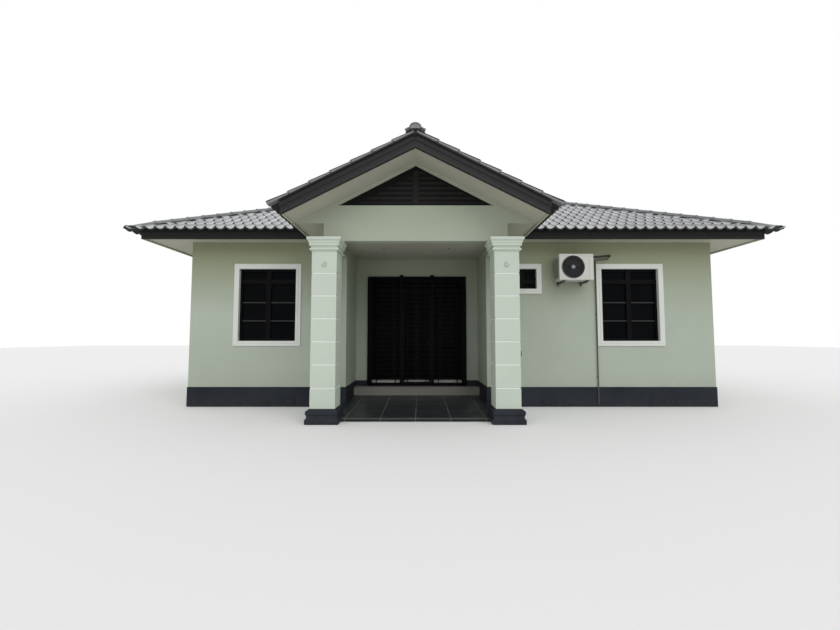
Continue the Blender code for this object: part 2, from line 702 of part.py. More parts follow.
def make_roof(house, tile):
    """Six roof slopes, mitred at hips, ridges and valleys."""
    porch_left = PORCH_X - PORCH_TILE_HALF
    porch_right = PORCH_X + PORCH_TILE_HALF
    corners = {
        "front_left": (-TILE_X, TILE_FRONT_Y), "front_right": (TILE_X, TILE_FRONT_Y),
        "back_left": (-TILE_X, TILE_BACK_Y), "back_right": (TILE_X, TILE_BACK_Y),
        "ridge_left": (-RIDGE_HALF, MIDDLE_Y), "ridge_right": (RIDGE_HALF, MIDDLE_Y),
    }

    def front_under(x, y):
        return FASCIA_TOP + (y - FASCIA_FRONT_Y) * SLOPE

    def back_under(x, y):
        return FASCIA_TOP + (FASCIA_BACK_Y - y) * SLOPE

    def side_under(x, y):
        return FASCIA_TOP + (FASCIA_X - abs(x)) * SLOPE

    def slope(name, outline, under):
        slabs(name, [outline], under, lambda x, y: under(x, y) + ROOF_VERTICAL, tile, house)

    slope("roof_front", [
        corners["front_left"], (porch_left, TILE_FRONT_Y), (PORCH_X, VALLEY_APEX_Y),
        (porch_right, TILE_FRONT_Y), corners["front_right"], corners["ridge_right"],
        corners["ridge_left"],
    ], front_under)
    slope("roof_back", [corners["back_right"], corners["back_left"], corners["ridge_left"],
                        corners["ridge_right"]], back_under)
    slope("roof_left", [corners["back_left"], corners["front_left"], corners["ridge_left"]],
          side_under)
    slope("roof_right", [corners["front_right"], corners["back_right"], corners["ridge_right"]],
          side_under)
    slope("porch_roof_left", [
        (porch_left, VERGE_TILE_Y), (PORCH_X, VERGE_TILE_Y), (PORCH_X, VALLEY_APEX_Y),
        (porch_left, TILE_FRONT_Y),
    ], porch_roof_under)
    slope("porch_roof_right", [
        (PORCH_X, VERGE_TILE_Y), (porch_right, VERGE_TILE_Y), (porch_right, TILE_FRONT_Y),
        (PORCH_X, VALLEY_APEX_Y),
    ], porch_roof_under)


def cap_profile(fall, rise):
    """Half-round cap over two slopes that fall away by fall on each side."""
    foot = -fall * CAP_HALF_WIDTH + JOINT_GAP
    arch = []
    for i in range(2 * CAP_QUARTER + 1):
        turn = math.pi / 2 * i / CAP_QUARTER
        lift = (rise - foot - CAP_EDGE) * math.sin(turn)
        arch.append((CAP_HALF_WIDTH * math.cos(turn), foot + CAP_EDGE + lift))
    return [(-CAP_HALF_WIDTH, foot), (0.0, JOINT_GAP), (CAP_HALF_WIDTH, foot)] + arch


def cap_run(name, fall, rise, place, start, end, start_cuts, end_cuts, lean, tile, house):
    """One run of caps. Its ends are mitred: cuts say how far each half of the end falls
    back for each metre out from the crown, on the negative and on the positive side.
    Lean says how far the start falls back for each metre below the crown."""
    profile = cap_profile(fall, rise)
    trim = JOINT_GAP * 0.75
    middle, crown = 1, 3 + CAP_QUARTER
    shape = bmesh.new()
    loops = []
    ends = ((start + trim, start_cuts, lean, 1), (end - trim, end_cuts, 0.0, -1))
    for along, cuts, leaning, sign in ends:
        ring = []
        for out, up in profile:
            fall_back = abs(out) * (cuts[1] if out > 0 else cuts[0]) + (rise - up) * leaning
            ring.append(shape.verts.new(place(along + sign * fall_back, out, up)))
        shape.faces.new(ring[middle:crown + 1])
        shape.faces.new(ring[crown:] + ring[:middle + 1])
        loops.append(ring)
    count = len(profile)
    for i in range(count):
        j = (i + 1) % count
        shape.faces.new((loops[0][i], loops[0][j], loops[1][j], loops[1][i]))
    return finish_mesh(name, shape, tile, house)


def make_caps(house, tile):
    """Ridge and hip caps of the main roof, mitred where three meet, and the porch's cap."""
    square = (0.0, 0.0)
    by_ridge = math.tan(math.radians(22.5))
    by_hip = math.tan(math.radians(45.0))
    ridge_top = main_roof_under(0, MIDDLE_Y) + ROOF_VERTICAL

    def on_ridge(along, out, up):
        return (along, MIDDLE_Y + out, ridge_top + up)

    nose = (by_ridge, by_ridge)
    cap_run("ridge_cap", SLOPE, CAP_RISE, on_ridge, -RIDGE_HALF, RIDGE_HALF, nose, nose, 0.0,
            tile, house)

    porch_top = PORCH_APEX_Z + ROOF_VERTICAL

    def on_porch(along, out, up):
        return (PORCH_X + out, along, porch_top + up)

    cap_run("porch_ridge_cap", SLOPE, PORCH_CAP_RISE, on_porch, VERGE_TILE_Y - VERGE_CAP,
            VALLEY_APEX_Y - CAP_HALF_WIDTH, square, square, 0.0, tile, house)

    diagonal = math.sqrt(2)
    hip_fall = SLOPE / diagonal
    outer_z = FASCIA_TOP - TILE_OVERHANG * SLOPE + ROOF_VERTICAL
    for name, side, end in (("hip_cap_front_left", -1, -1), ("hip_cap_front_right", 1, -1),
                            ("hip_cap_back_left", -1, 1), ("hip_cap_back_right", 1, 1)):

        def on_hip(along, out, up):
            """Along runs up the hip in plan from the corner of the tiles."""
            x = side * (TILE_X - (along + out) / diagonal)
            y = MIDDLE_Y + end * (HIP_RUN - (along - out) / diagonal)
            return (x, y, outer_z + along * hip_fall + up)

        cap_run(name, hip_fall, CAP_RISE, on_hip, -CAP_OVERHANG * diagonal, HIP_RUN * diagonal,
                (by_hip, by_hip), (by_hip, by_ridge), CAP_LEAN, tile, house)


def fascia_profile(top):
    """Section of a fascia board with a moulded upper step."""
    bottom = top - FASCIA_HEIGHT
    step = top - FASCIA_STEP_HEIGHT
    return [(-FASCIA_THICKNESS, bottom), (0, bottom), (0, step - FASCIA_STEP),
            (FASCIA_STEP, step), (FASCIA_STEP, top - FASCIA_STEP * SLOPE - JOINT_GAP),
            (0, top - JOINT_GAP), (-FASCIA_THICKNESS, top - JOINT_GAP)]


def make_fascias(house, dark):
    profile = fascia_profile(FASCIA_TOP)
    porch_left = PORCH_X - PORCH_HALF
    porch_right = PORCH_X + PORCH_HALF
    front, back, far = FASCIA_FRONT_Y, FASCIA_BACK_Y, FASCIA_X
    sweep("fascia_front_left", profile, [(porch_left, VERGE_Y), (porch_left, front), (-far, front)],
          dark, house, before=(PORCH_X, VERGE_Y), after=(-far, back))
    sweep("fascia_front_right", profile, [(far, front), (porch_right, front), (porch_right, VERGE_Y)],
          dark, house, before=(far, back), after=(PORCH_X, VERGE_Y))
    sweep("fascia_sides_and_back", profile, [(-far, front), (-far, back), (far, back), (far, front)],
          dark, house, before=(0, front), after=(0, front))

    # The bargeboards follow the porch slopes and are mitred into the side fascias.
    drop = BARGE_VERTICAL
    step = FASCIA_STEP_HEIGHT / math.cos(PITCH)
    section = [(-FASCIA_THICKNESS, -drop), (0, -drop), (0, -step - FASCIA_STEP),
               (FASCIA_STEP, -step), (FASCIA_STEP, -JOINT_GAP), (-FASCIA_THICKNESS, -JOINT_GAP)]
    rings = []
    for station in (-1, 0, 1):
        ring = []
        for out, up in section:
            along = station * (PORCH_HALF + out - JOINT_GAP * 0.75)
            ring.append((PORCH_X + along, VERGE_Y - out, PORCH_APEX_Z - abs(along) * SLOPE + up))
        rings.append(ring)
    shape = bmesh.new()
    add_rings(shape, rings)
    finish_mesh("bargeboards", shape, dark, house)


def make_soffits(house, beige, white):
    """Level soffit round all eaves, sloping soffit behind the bargeboards, and ceiling."""
    x_out = FASCIA_X - FASCIA_THICKNESS
    front_out = FASCIA_FRONT_Y + FASCIA_THICKNESS
    back_out = FASCIA_BACK_Y - FASCIA_THICKNESS
    beam_left = PORCH_X - BEAM_OUTER
    beam_right = PORCH_X + BEAM_OUTER
    porch_in = PORCH_HALF - FASCIA_THICKNESS
    level = [
        (PORCH_X + porch_in, GABLE_BACK_Y), (PORCH_X + porch_in, front_out), (x_out, front_out),
        (x_out, back_out), (-x_out, back_out), (-x_out, front_out),
        (PORCH_X - porch_in, front_out), (PORCH_X - porch_in, GABLE_BACK_Y),
        (beam_left, GABLE_BACK_Y), (beam_left, 0), (-HALF_WIDTH, 0), (-HALF_WIDTH, HOUSE_DEPTH),
        (HALF_WIDTH, HOUSE_DEPTH), (HALF_WIDTH, 0), (beam_right, 0), (beam_right, GABLE_BACK_Y),
    ]
    slabs("eave_soffit", [inset(level, JOINT_GAP)], SOFFIT_Z, SOFFIT_Z + SOFFIT_BOARD, beige, house)

    board = SOFFIT_BOARD / math.cos(PITCH)
    under = PORCH_APEX_Z - BARGE_VERTICAL + VERGE_SOFFIT_LIP
    half = porch_in - JOINT_GAP
    low = under - half * SLOPE
    outline = [(-half, low), (0, under), (half, low), (half, low + board), (0, under + board),
               (-half, low + board)]
    shape = bmesh.new()
    ends = (VERGE_Y + FASCIA_THICKNESS + JOINT_GAP, GABLE_Y - JOINT_GAP)
    add_rings(shape, [[(PORCH_X + x, y, z) for x, z in outline] for y in ends])
    finish_mesh("verge_soffit", shape, beige, house)

    outline = rectangle(PORCH_X - RECESS_HALF, GABLE_BACK_Y, PORCH_X + RECESS_HALF, DOOR_WALL_Y)
    ceiling = slabs("porch_ceiling", [inset(outline, JOINT_GAP)], CEILING_Z,
                    CEILING_Z + SOFFIT_BOARD, beige, house)
    for name, side in (("left", -1), ("right", 1)):
        shape = bmesh.new()
        add_rings(shape, cylinder_rings(PORCH_X + side * LIGHT_OFFSET_X, LIGHT_Y, LIGHT_RADIUS,
                                        CEILING_Z - LIGHT_DEPTH, CEILING_Z + SOFFIT_BOARD / 2, 24))
        light = finish_mesh("ceiling_light_" + name, shape, white, house)
        boolean(ceiling, as_guide(light), "UNION")


def cylinder_rings(centre_x, centre_y, radius, z0, z1, sides=16):
    ring = []
    for i in range(sides):
        turn = 2 * math.pi * i / sides
        ring.append((centre_x + radius * math.cos(turn), centre_y + radius * math.sin(turn)))
    return [[(x, y, z) for x, y in ring] for z in (z0, z1)]


def glazed_frame(name, face, opening, near, depth, lights, black, glass, house, separate_pane):
    """A frame cut into lights, with one pane behind its bars, bedded in the frame.

    Opening is (start, end, sill, head); lights are boxes' sides in the same order."""
    start, end, sill, head = opening
    gap = JOINT_GAP
    far = near + depth
    made = boxes(name, [placed_box(face, start + gap, end - gap, near, far, sill + gap, head - gap)],
                 black, house)
    pane_front = near + BAR_DEPTH
    front_cut = far if separate_pane else pane_front
    boolean(made, cutter(name + "_lights", [
        placed_box(face, a0, a1, near - CUT_CLEAR, front_cut, low, high)
        for a0, a1, low, high in lights
    ], house))
    inner_start = min(light[0] for light in lights)
    inner_end = max(light[1] for light in lights)
    inner_low = min(light[2] for light in lights)
    inner_high = max(light[3] for light in lights)
    rebate = pane_front if separate_pane else pane_front + GLASS_THICKNESS
    boolean(made, cutter(name + "_rebate", [
        placed_box(face, inner_start, inner_end, rebate, far + CUT_CLEAR, inner_low, inner_high),
    ], house))
    if separate_pane:
        boxes(name.replace("frame", "glass"), [
            placed_box(face, inner_start + gap, inner_end - gap, pane_front + gap,
                       pane_front + gap + GLASS_THICKNESS, inner_low + gap, inner_high - gap),
        ], glass, house)
    return made


def window_lights(opening):
    """Two columns of lights, with a transom where the window is tall."""
    start, end, sill, head = opening
    middle = (start + end) / 2
    columns = [(start + FRAME_BAR, middle - MULLION_BAR / 2), (middle + MULLION_BAR / 2, end - FRAME_BAR)]
    rows = [(sill + FRAME_BAR, head - FRAME_BAR)]
    if sill < TRANSOM_Z - 2 * FRAME_BAR:
        rows = [(sill + FRAME_BAR, TRANSOM_Z - TRANSOM_BAR / 2),
                (TRANSOM_Z + TRANSOM_BAR / 2, head - FRAME_BAR)]
    return [(*column, *row) for column in columns for row in rows]


def make_windows(house, black, glass):
    named = [
        ("front_left_window_frame", front_face, FRONT_WINDOWS[0], True),
        ("small_window_frame", front_face, FRONT_WINDOWS[1], True),
        ("front_right_window_frame", front_face, FRONT_WINDOWS[2], True),
    ]
    for place, face, windows in (("left", left_face, SIDE_WINDOWS), ("right", right_face, SIDE_WINDOWS),
                                 ("back", back_face, BACK_WINDOWS)):
        for number, window in enumerate(windows, 1):
            named.append((f"{place}_window_{number}", face, window, False))
    for name, face, window, separate in named:
        glazed_frame(name, face, window, FRAME_SETBACK, FRAME_DEPTH, window_lights(window),
                     black, glass, house, separate)


def slat_holes(x0, x1, z0, z1, y0, y1):
    """Gaps between level slats that fill a panel."""
    count = max(1, round((z1 - z0) / GRILLE_SLAT_PITCH))
    pitch = (z1 - z0 + GRILLE_SLAT) / count
    spans = []
    for i in range(count):
        low = z0 + i * pitch
        spans.append(((x0, y0, low), (x1, y1, low + pitch - GRILLE_SLAT)))
    return spans


def make_entrance(house, black, glass):
    """Fixed grille frame with side panels, one hinged leaf, and glazed doors behind."""
    back = DOOR_WALL_Y - JOINT_GAP
    front = back - GRILLE_DEPTH
    low, high = GRILLE_BOTTOM, GRILLE_TOP
    bar = GRILLE_BAR
    frame = boxes("grille_frame", [
        ((PORCH_X - GRILLE_HALF, front, low), (PORCH_X + GRILLE_HALF, back, high)),
    ], black, house)
    cut_y0, cut_y1 = front - CUT_CLEAR, back + CUT_CLEAR
    outer = GRILLE_HALF - GRILLE_SIDE
    post = LEAF_POST_OFFSET
    half_post = GRILLE_POST / 2
    transom_low = GRILLE_TRANSOM_Z - bar / 2
    transom_high = GRILLE_TRANSOM_Z + bar / 2
    holes = [((PORCH_X - post + half_post, cut_y0, low + bar),
              (PORCH_X + post - half_post, cut_y1, transom_low))]
    for start, end in ((-outer, -post - half_post), (post + half_post, outer)):
        x0, x1 = PORCH_X + start, PORCH_X + end
        holes.append(((x0, cut_y0, low + bar), (x1, cut_y1, GRILLE_KICK_Z)))
        holes += slat_holes(x0, x1, GRILLE_KICK_Z + bar, transom_low, cut_y0, cut_y1)
    for start, end in ((-outer, -post - half_post), (-post + half_post, post - half_post),
                       (post + half_post, outer)):
        holes += slat_holes(PORCH_X + start, PORCH_X + end, transom_high, high - bar, cut_y0, cut_y1)
    boolean(frame, cutter("cut_grille", holes, house))
    wide, tall = GRILLE_KNOB
    knobs = [((PORCH_X + side * post - wide / 2, front, high - tall),
              (PORCH_X + side * post + wide / 2, back, high + tall)) for side in (-1, 1)]
    boolean(frame, as_guide(boxes("grille_knobs", knobs, black, house)), "UNION")

    # The leaf hangs on the left post; its pins stand just in front of it.
    pin_x = PORCH_X - post + half_post + LEAF_GAP / 2
    pin_y = front - HINGE_FORWARD
    hinge = empty("grille_hinge", (pin_x, pin_y, 0), house)
    leaf_x0 = LEAF_GAP / 2
    leaf_x1 = 2 * (post - half_post) - LEAF_GAP / 2 - LATCH_GAP
    leaf_y0 = HINGE_FORWARD
    leaf_y1 = leaf_y0 + GRILLE_DEPTH
    leaf_low = low + bar + LEAF_GAP
    leaf_high = transom_low - LEAF_GAP
    leaf = boxes("grille_leaf", [((leaf_x0, leaf_y0, leaf_low), (leaf_x1, leaf_y1, leaf_high))],
                 black, hinge)
    stile = LEAF_STILE
    cut_y0, cut_y1 = leaf_y0 - CUT_CLEAR, leaf_y1 + CUT_CLEAR
    holes = [((leaf_x0 + stile, cut_y0, leaf_low + stile), (leaf_x1 - stile, cut_y1, GRILLE_KICK_Z))]
    holes += slat_holes(leaf_x0 + stile, leaf_x1 - stile, GRILLE_KICK_Z + bar, leaf_high - stile,
                        cut_y0, cut_y1)
    boolean(leaf, cutter("cut_leaf", holes, hinge))

    # Each hinge is a barrel on the post below a barrel on the leaf, each with its plate.
    leaf_barrels = bmesh.new()
    post_barrels = bmesh.new()
    leaf_plates = []
    post_plates = []
    near, far, bite = HINGE_PLATE_START, HINGE_PLATE_END, HINGE_BITE
    for z in HINGE_HEIGHTS:
        low_z, seat_z, high_z = z - HINGE_LENGTH, z - HINGE_SEAT, z + HINGE_LENGTH
        add_rings(post_barrels, cylinder_rings(pin_x, pin_y, HINGE_RADIUS, low_z, seat_z))
        add_rings(leaf_barrels, cylinder_rings(0, 0, HINGE_RADIUS, z, high_z))
        post_plates.append(((pin_x - far, pin_y - HINGE_PLATE / 2, low_z + bite),
                            (pin_x - near, front + bite, seat_z - bite)))
        leaf_plates.append(((near, -HINGE_PLATE / 2, z + bite), (far, leaf_y0 + bite, high_z - bite)))
    lock_x, lock_y, lock_z = LOCK_SIZE
    lock_front = leaf_y0 - LOCK_PROUD
    lock = ((leaf_x1 - stile - lock_x / 2, lock_front, LOCK_HEIGHT - lock_z / 2),
            (leaf_x1 - LOCK_EDGE, lock_front + lock_y, LOCK_HEIGHT + lock_z / 2))
    boolean(frame, as_guide(boxes("post_hinge_plates", post_plates, black, house)), "UNION")
    boolean(frame, as_guide(finish_mesh("post_hinge_barrels", post_barrels, black, house)), "UNION")
    boolean(leaf, as_guide(boxes("leaf_hinge_plates", leaf_plates, black, hinge)), "UNION")
    boolean(leaf, as_guide(finish_mesh("leaf_hinge_barrels", leaf_barrels, black, hinge)), "UNION")
    boolean(leaf, as_guide(boxes("leaf_lock", [lock], black, hinge)), "UNION")

    # Glazed sliding doors behind: four panels in one frame, shown closed.
    opening = (PORCH_X - DOORWAY_HALF, PORCH_X + DOORWAY_HALF, FLOOR_TOP, DOORWAY_TOP)
    low, high = opening[2] + SLIDER_FRAME + SLIDER_STILE, opening[3] - SLIDER_FRAME - SLIDER_STILE
    width = (2 * DOORWAY_HALF - 2 * SLIDER_FRAME) / SLIDER_PANELS
    lights = []
    for i in range(SLIDER_PANELS):
        start = opening[0] + SLIDER_FRAME + i * width
        lights.append((start + SLIDER_STILE, start + width - SLIDER_STILE, low, high))
    glazed_frame("door_frame", front_face, opening, DOOR_WALL_Y + SLIDER_SETBACK, SLIDER_DEPTH, lights,
                 black, glass, house, True)


def make_air_unit(house, cream, steel):
    """Outdoor unit with a round fan opening and its guard, on two wall brackets."""
    x0, x1 = AC_X - AC_WIDTH / 2, AC_X + AC_WIDTH / 2
    y1 = -AC_WALL_GAP
    y0 = y1 - AC_DEPTH
    z0, z1 = AC_BOTTOM, AC_BOTTOM + AC_HEIGHT
    unit = boxes("ac_unit", [((x0, y0, z0), (x1, y1, z1))], cream, house)
    rounded = unit.modifiers.new("corners", "BEVEL")
    rounded.width = AC_CORNER
    rounded.segments = 3
    fan_x = AC_X + AC_FAN_X
    fan_z = z0 + AC_HEIGHT / 2

    def disc(radius, depth):
        ring = []
        for i in range(FAN_SIDES):
            turn = 2 * math.pi * i / FAN_SIDES
            ring.append((fan_x + radius * math.cos(turn), depth, fan_z + radius * math.sin(turn)))
        return ring

    shape = bmesh.new()
    add_rings(shape, [disc(AC_FAN_RADIUS, y0 - CUT_CLEAR), disc(AC_FAN_RADIUS, y0 + AC_FAN_RECESS)])
    boolean(unit, as_guide(finish_mesh("cut_fan", shape, None, house)))

    shape = bmesh.new()
    guard_back = y0 - JOINT_GAP
    guard_front = guard_back - GUARD_THICKNESS
    rim = AC_FAN_RADIUS + GUARD_LAP
    add_rings(shape, [disc(rim, guard_front), disc(rim, guard_back)])
    guard = finish_mesh("ac_fan_guard", shape, steel, house)
    shape = bmesh.new()
    cut_ends = (guard_front - CUT_CLEAR, guard_back + CUT_CLEAR)
    for inner, outer in zip(GUARD_RINGS, GUARD_RINGS[1:]):
        for spoke in range(GUARD_SPOKES):
            sector = guard_sector(inner + GUARD_WIRE, outer, spoke)
            add_rings(shape, [[(fan_x + u, y, fan_z + v) for u, v in sector] for y in cut_ends])
    boolean(guard, as_guide(finish_mesh("cut_guard", shape, None, house)))

    for name, side in (("ac_bracket_left", -1), ("ac_bracket_right", 1)):
        make_bracket(name, AC_X + side * BRACKET_SPACING / 2, y0, y1, z0, steel, house)


def guard_sector(inner, outer, spoke):
    """Outline of one gap in the fan guard, between two rings and two spokes."""
    width = 2 * math.pi / GUARD_SPOKES
    outline = []
    for radius, order in ((outer, range(ARC_STEPS + 1)), (inner, range(ARC_STEPS, -1, -1))):
        margin = GUARD_WIRE / 2 / radius
        for i in order:
            turn = width * spoke + margin + (width - 2 * margin) * i / ARC_STEPS
            outline.append((radius * math.cos(turn), radius * math.sin(turn)))
    return outline


def make_bracket(name, middle, y0, y1, z0, steel, house):
    """Wall bracket of steel angle with its foot near the arm, and two feet for the unit."""
    x0, x1 = middle - BRACKET_WIDTH / 2, middle + BRACKET_WIDTH / 2
    arm_top = z0 - AC_FOOT - JOINT_GAP
    thick = BRACKET_THICKNESS
    front = y0 - BRACKET_END
    low, high = arm_top - BRACKET_FOOT, arm_top + BRACKET_HEAD
    wall = -JOINT_GAP
    flanges = [(wall, low), (wall, high), (-thick, high), (-thick, arm_top), (front, arm_top),
               (front, arm_top - thick), (-thick, arm_top - thick), (-thick, low)]
    web = [(wall - thick / 2, low), (wall - thick / 2, high), (-BRACKET_WEB, high),
           (-BRACKET_WEB, arm_top - thick / 2), (front, arm_top - thick / 2),
           (front + BRACKET_WEB / 2, arm_top - BRACKET_WEB), (-BRACKET_WEB, arm_top - BRACKET_WEB),
           (-BRACKET_WEB, low)]
    shape = bmesh.new()
    add_rings(shape, [[(x, y, z) for y, z in flanges] for x in (x0, x1)])
    bracket = finish_mesh(name, shape, steel, house)
    shape = bmesh.new()
    add_rings(shape, [[(x, y, z) for y, z in web] for x in (x0 + thick / 4, x0 + thick)])
    boolean(bracket, as_guide(finish_mesh(name + "_web", shape, steel, house)), "UNION")
    feet = []
    for y in (y0 + AC_FOOT_INSET, y1 - AC_FOOT_INSET):
        feet.append(((x0 + AC_FOOT_SIDE, y - AC_FOOT_HALF, arm_top - thick / 2),
                     (x1 - AC_FOOT_SIDE, y + AC_FOOT_HALF, z0 - JOINT_GAP)))
    boolean(bracket, as_guide(boxes(name + "_feet", feet, steel, house)), "UNION")


def pipe(name, points, radius, finish, parent, sides=12):
    """A round pipe through the given points, closed at both ends."""
    points = [Vector(point) for point in points]
    heading = [(b - a).normalized() for a, b in zip(points, points[1:])]
    middle = [(a + b).normalized() for a, b in zip(heading, heading[1:])]
    across = heading[0].orthogonal()
    rings = []
    for point, along in zip(points, [heading[0]] + middle + [heading[-1]]):
        across = (across - along * across.dot(along)).normalized()
        upward = along.cross(across)
        ring = []
        for i in range(sides):
            turn = 2 * math.pi * i / sides
            ring.append(tuple(point + (across * math.cos(turn) + upward * math.sin(turn)) * radius))
        rings.append(ring)
    shape = bmesh.new()
    add_rings(shape, rings)
    return finish_mesh(name, shape, finish, parent)


def bend(start, corner, end, radius, steps=ARC_STEPS):
    """Points of a quarter bend from one straight run into the next."""
    first = (Vector(start) - Vector(corner)).normalized()
    second = (Vector(end) - Vector(corner)).normalized()
    centre = Vector(corner) + (first + second) * radius
    points = []
    for i in range(steps + 1):
        turn = math.pi / 2 * i / steps
        points.append(tuple(centre - second * radius * math.cos(turn) - first * radius * math.sin(turn)))
    return points


def swing(start, start_way, end, end_way, steps=10):
    """Points of a smooth curve that leaves and arrives along the given directions."""
    a, d = Vector(start), Vector(end)
    b = a + Vector(start_way) * PIPE_SWING
    c = d - Vector(end_way) * PIPE_SWING
    points = []
    for i in range(steps + 1):
        t = i / steps
        u = 1 - t
        points.append(tuple(a * u ** 3 + b * 3 * u * u * t + c * 3 * u * t * t + d * t ** 3))
    return points


def make_pipes(house, grey, black):
    """Insulated pipe from the unit into the wall, and the drain pipe down the wall."""
    unit_right = AC_X + AC_WIDTH / 2
    behind, below = PIPE_OUTLET
    out_y = -AC_WALL_GAP - AC_DEPTH + behind
    out_z = AC_BOTTOM + AC_HEIGHT - below
    start = (unit_right + JOINT_GAP, out_y, out_z)
    end = (PIPE_WALL_X, -JOINT_GAP, PIPE_WALL_Z)
    route = [start]
    route += swing((unit_right + PIPE_STRAIGHT, out_y, out_z), (1, 0, 0),
                   (PIPE_WALL_X, -PIPE_STRAIGHT, PIPE_WALL_Z), (0, 1, 0))
    pipe("ac_pipe", route + [end], PIPE_RADIUS, black, house)

    y = -DRAIN_CLEAR - DRAIN_RADIUS
    low_z = DRAIN_WALL_Z - DRAIN_FALL
    start = (DRAIN_WALL_X, -JOINT_GAP, DRAIN_WALL_Z)
    first = (DRAIN_WALL_X, y, DRAIN_WALL_Z)
    second = (DRAIN_X, y, low_z)
    foot = (DRAIN_X, y, DRAIN_BOTTOM)
    level = (first[0] - 1, y, DRAIN_WALL_Z)
    route = [start] + bend(start, first, level, DRAIN_BEND)
    route += bend((second[0] + 1, y, low_z), second, foot, DRAIN_BEND) + [foot]
    drain = pipe("ac_drain", route, DRAIN_RADIUS, grey, house)
    wide, high = DRAIN_CLIP
    clips = [((DRAIN_X - wide / 2, y, z - high / 2), (DRAIN_X + wide / 2, -JOINT_GAP, z + high / 2))
             for z in DRAIN_CLIP_HEIGHTS]
    boolean(drain, as_guide(boxes("drain_clips", clips, grey, house)), "UNION")


def build():
    clear_scene()
    house = empty("house", (0, -CENTRE_Y, 0))
    plaster = material("sage_plaster", (0.60, 0.64, 0.56))
    pale = material("pale_column_plaster", (0.68, 0.71, 0.65))
    trim = material("white_trim", (0.80, 0.81, 0.77), 0.7)
    charcoal = material("charcoal_paint", (0.05, 0.06, 0.065), 0.6)
    timber = material("dark_board", (0.045, 0.04, 0.038), 0.5)
    beige = material("beige_board", (0.58, 0.56, 0.48), 0.8)
    tile = material("roof_tile", (0.09, 0.095, 0.10), 0.35)
    concrete = material("step_concrete", (0.42, 0.40, 0.36), 0.85)
    floor_tile = material("porch_tile", (0.06, 0.065, 0.07), 0.4)
    black = material("black_metal", (0.015, 0.014, 0.014), 0.35, 0.6)
    glass = material("dark_glass", (0.02, 0.025, 0.028), 0.05)
    cream = material("unit_cream", (0.72, 0.71, 0.66), 0.45)
    steel = material("painted_steel", (0.03, 0.03, 0.03), 0.5, 0.3)
    rubber = material("pipe_black", (0.02, 0.02, 0.02), 0.8)
    grey = material("pipe_grey", (0.45, 0.46, 0.45), 0.5)

    make_walls(house, plaster)
    make_band(house, charcoal)
    make_floors(house, concrete, floor_tile)
    make_columns(house, pale)
    make_porch_walls(house, plaster)
    make_louvre(house, timber)
    make_roof(house, tile)
    make_caps(house, tile)
    make_fascias(house, timber)
    make_soffits(house, beige, trim)
    make_windows(house, black, glass)
    make_entrance(house, black, glass)
    make_air_unit(house, cream, steel)
    make_pipes(house, grey, rubber)


build()
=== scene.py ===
import math

import bmesh
import bpy
import numpy as np
from mathutils import Matrix, Vector


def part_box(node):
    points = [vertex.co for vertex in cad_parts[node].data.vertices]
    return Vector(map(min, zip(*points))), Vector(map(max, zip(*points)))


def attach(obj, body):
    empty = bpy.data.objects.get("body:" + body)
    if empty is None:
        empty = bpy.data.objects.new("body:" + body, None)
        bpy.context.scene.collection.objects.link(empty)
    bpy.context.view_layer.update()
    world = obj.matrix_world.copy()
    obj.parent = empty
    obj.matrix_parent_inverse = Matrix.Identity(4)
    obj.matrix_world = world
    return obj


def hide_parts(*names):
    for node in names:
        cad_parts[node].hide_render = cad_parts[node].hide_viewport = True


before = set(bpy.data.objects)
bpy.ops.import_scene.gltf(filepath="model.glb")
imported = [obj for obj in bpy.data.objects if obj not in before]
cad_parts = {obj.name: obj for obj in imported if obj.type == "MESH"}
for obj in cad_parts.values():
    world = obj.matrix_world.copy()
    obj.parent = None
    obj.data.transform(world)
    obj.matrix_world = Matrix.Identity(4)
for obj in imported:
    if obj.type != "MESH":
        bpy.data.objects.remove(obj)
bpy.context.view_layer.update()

# Metres. House coordinates: X runs along the front, Y runs in from the front wall's outer
# face, Z is up from the ground. FACE_Y is that wall face in the row frame.
GAP = 0.0003
WALL = 0.15
FACE_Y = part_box("left_wall")[0].y - WALL - GAP
PITCH = math.radians(27.0)
SLOPE = math.tan(PITCH)
RISE, RUN = math.sin(PITCH), math.cos(PITCH)

# Body and roof, as in the CAD
HALF_WIDTH = 5.44
DEPTH = 9.0
FASCIA_X = 6.24
FASCIA_FRONT_Y = -0.40
FASCIA_BACK_Y = 9.40
FASCIA_TOP = 3.58
OVERHANG = 0.18
SOFFIT_Z = 3.414
MIDDLE_Y = 4.5
RIDGE_HALF = 1.34
HIP_RUN = 5.08
PORCH_X = -0.735
PORCH_HALF = 2.15
VERGE_TILE_Y = -2.03
BARGE_Y = -2.0
BARGE_DEPTH = 0.195
APEX_Z = FASCIA_TOP + PORCH_HALF * SLOPE
VALLEY_APEX_Y = 1.75
EAVE_Z = FASCIA_TOP - OVERHANG * SLOPE

BOARD_LENGTH = 1.2          # boards of the eaves' soffit

# Roof tiles
TILE_WIDTH = 0.195          # roll to roll
TILE_EXPOSURE = 0.37        # up the slope
TILE_WAVE = 0.045
WAVE_ROUND = 0.02           # roundness of the rolls' crests
WAVE_STEPS = (0, .03, .07, .12, .2, .32, .5, .68, .8, .88, .93, .97)
PAN_TOP = 0.040             # lowest line of the tiles' upper face above the slope's plane
TILE_THICKNESS = 0.014
TILE_BUTT = 0.007           # step at each course, in the pans
ROLL_BUTT = 0.025           # added to it over the rolls
ROLL_SHARP = 2.2
BUTT_EDGE, BUTT_RUN = 0.0015, 0.012
TILE_SEED = 11
TILE_JITTER = 0.0015
VERGE_FOOT = 0.024          # underside of the verge tiles above the slope's plane
CUT_REACH = 0.06            # trimming outline past the eaves
CUT_LOW, CUT_HIGH = 3.0, 7.0
SHEET_PAST, SHEET_UP = 0.12, 0.1
TRIM_GAP = 0.006
DECK_GAP, DECK_TOP = 0.002, 0.028
VERGE_BUTT, VERGE_HEAD = 0.068, 0.048
VERGE_LAP = 0.03
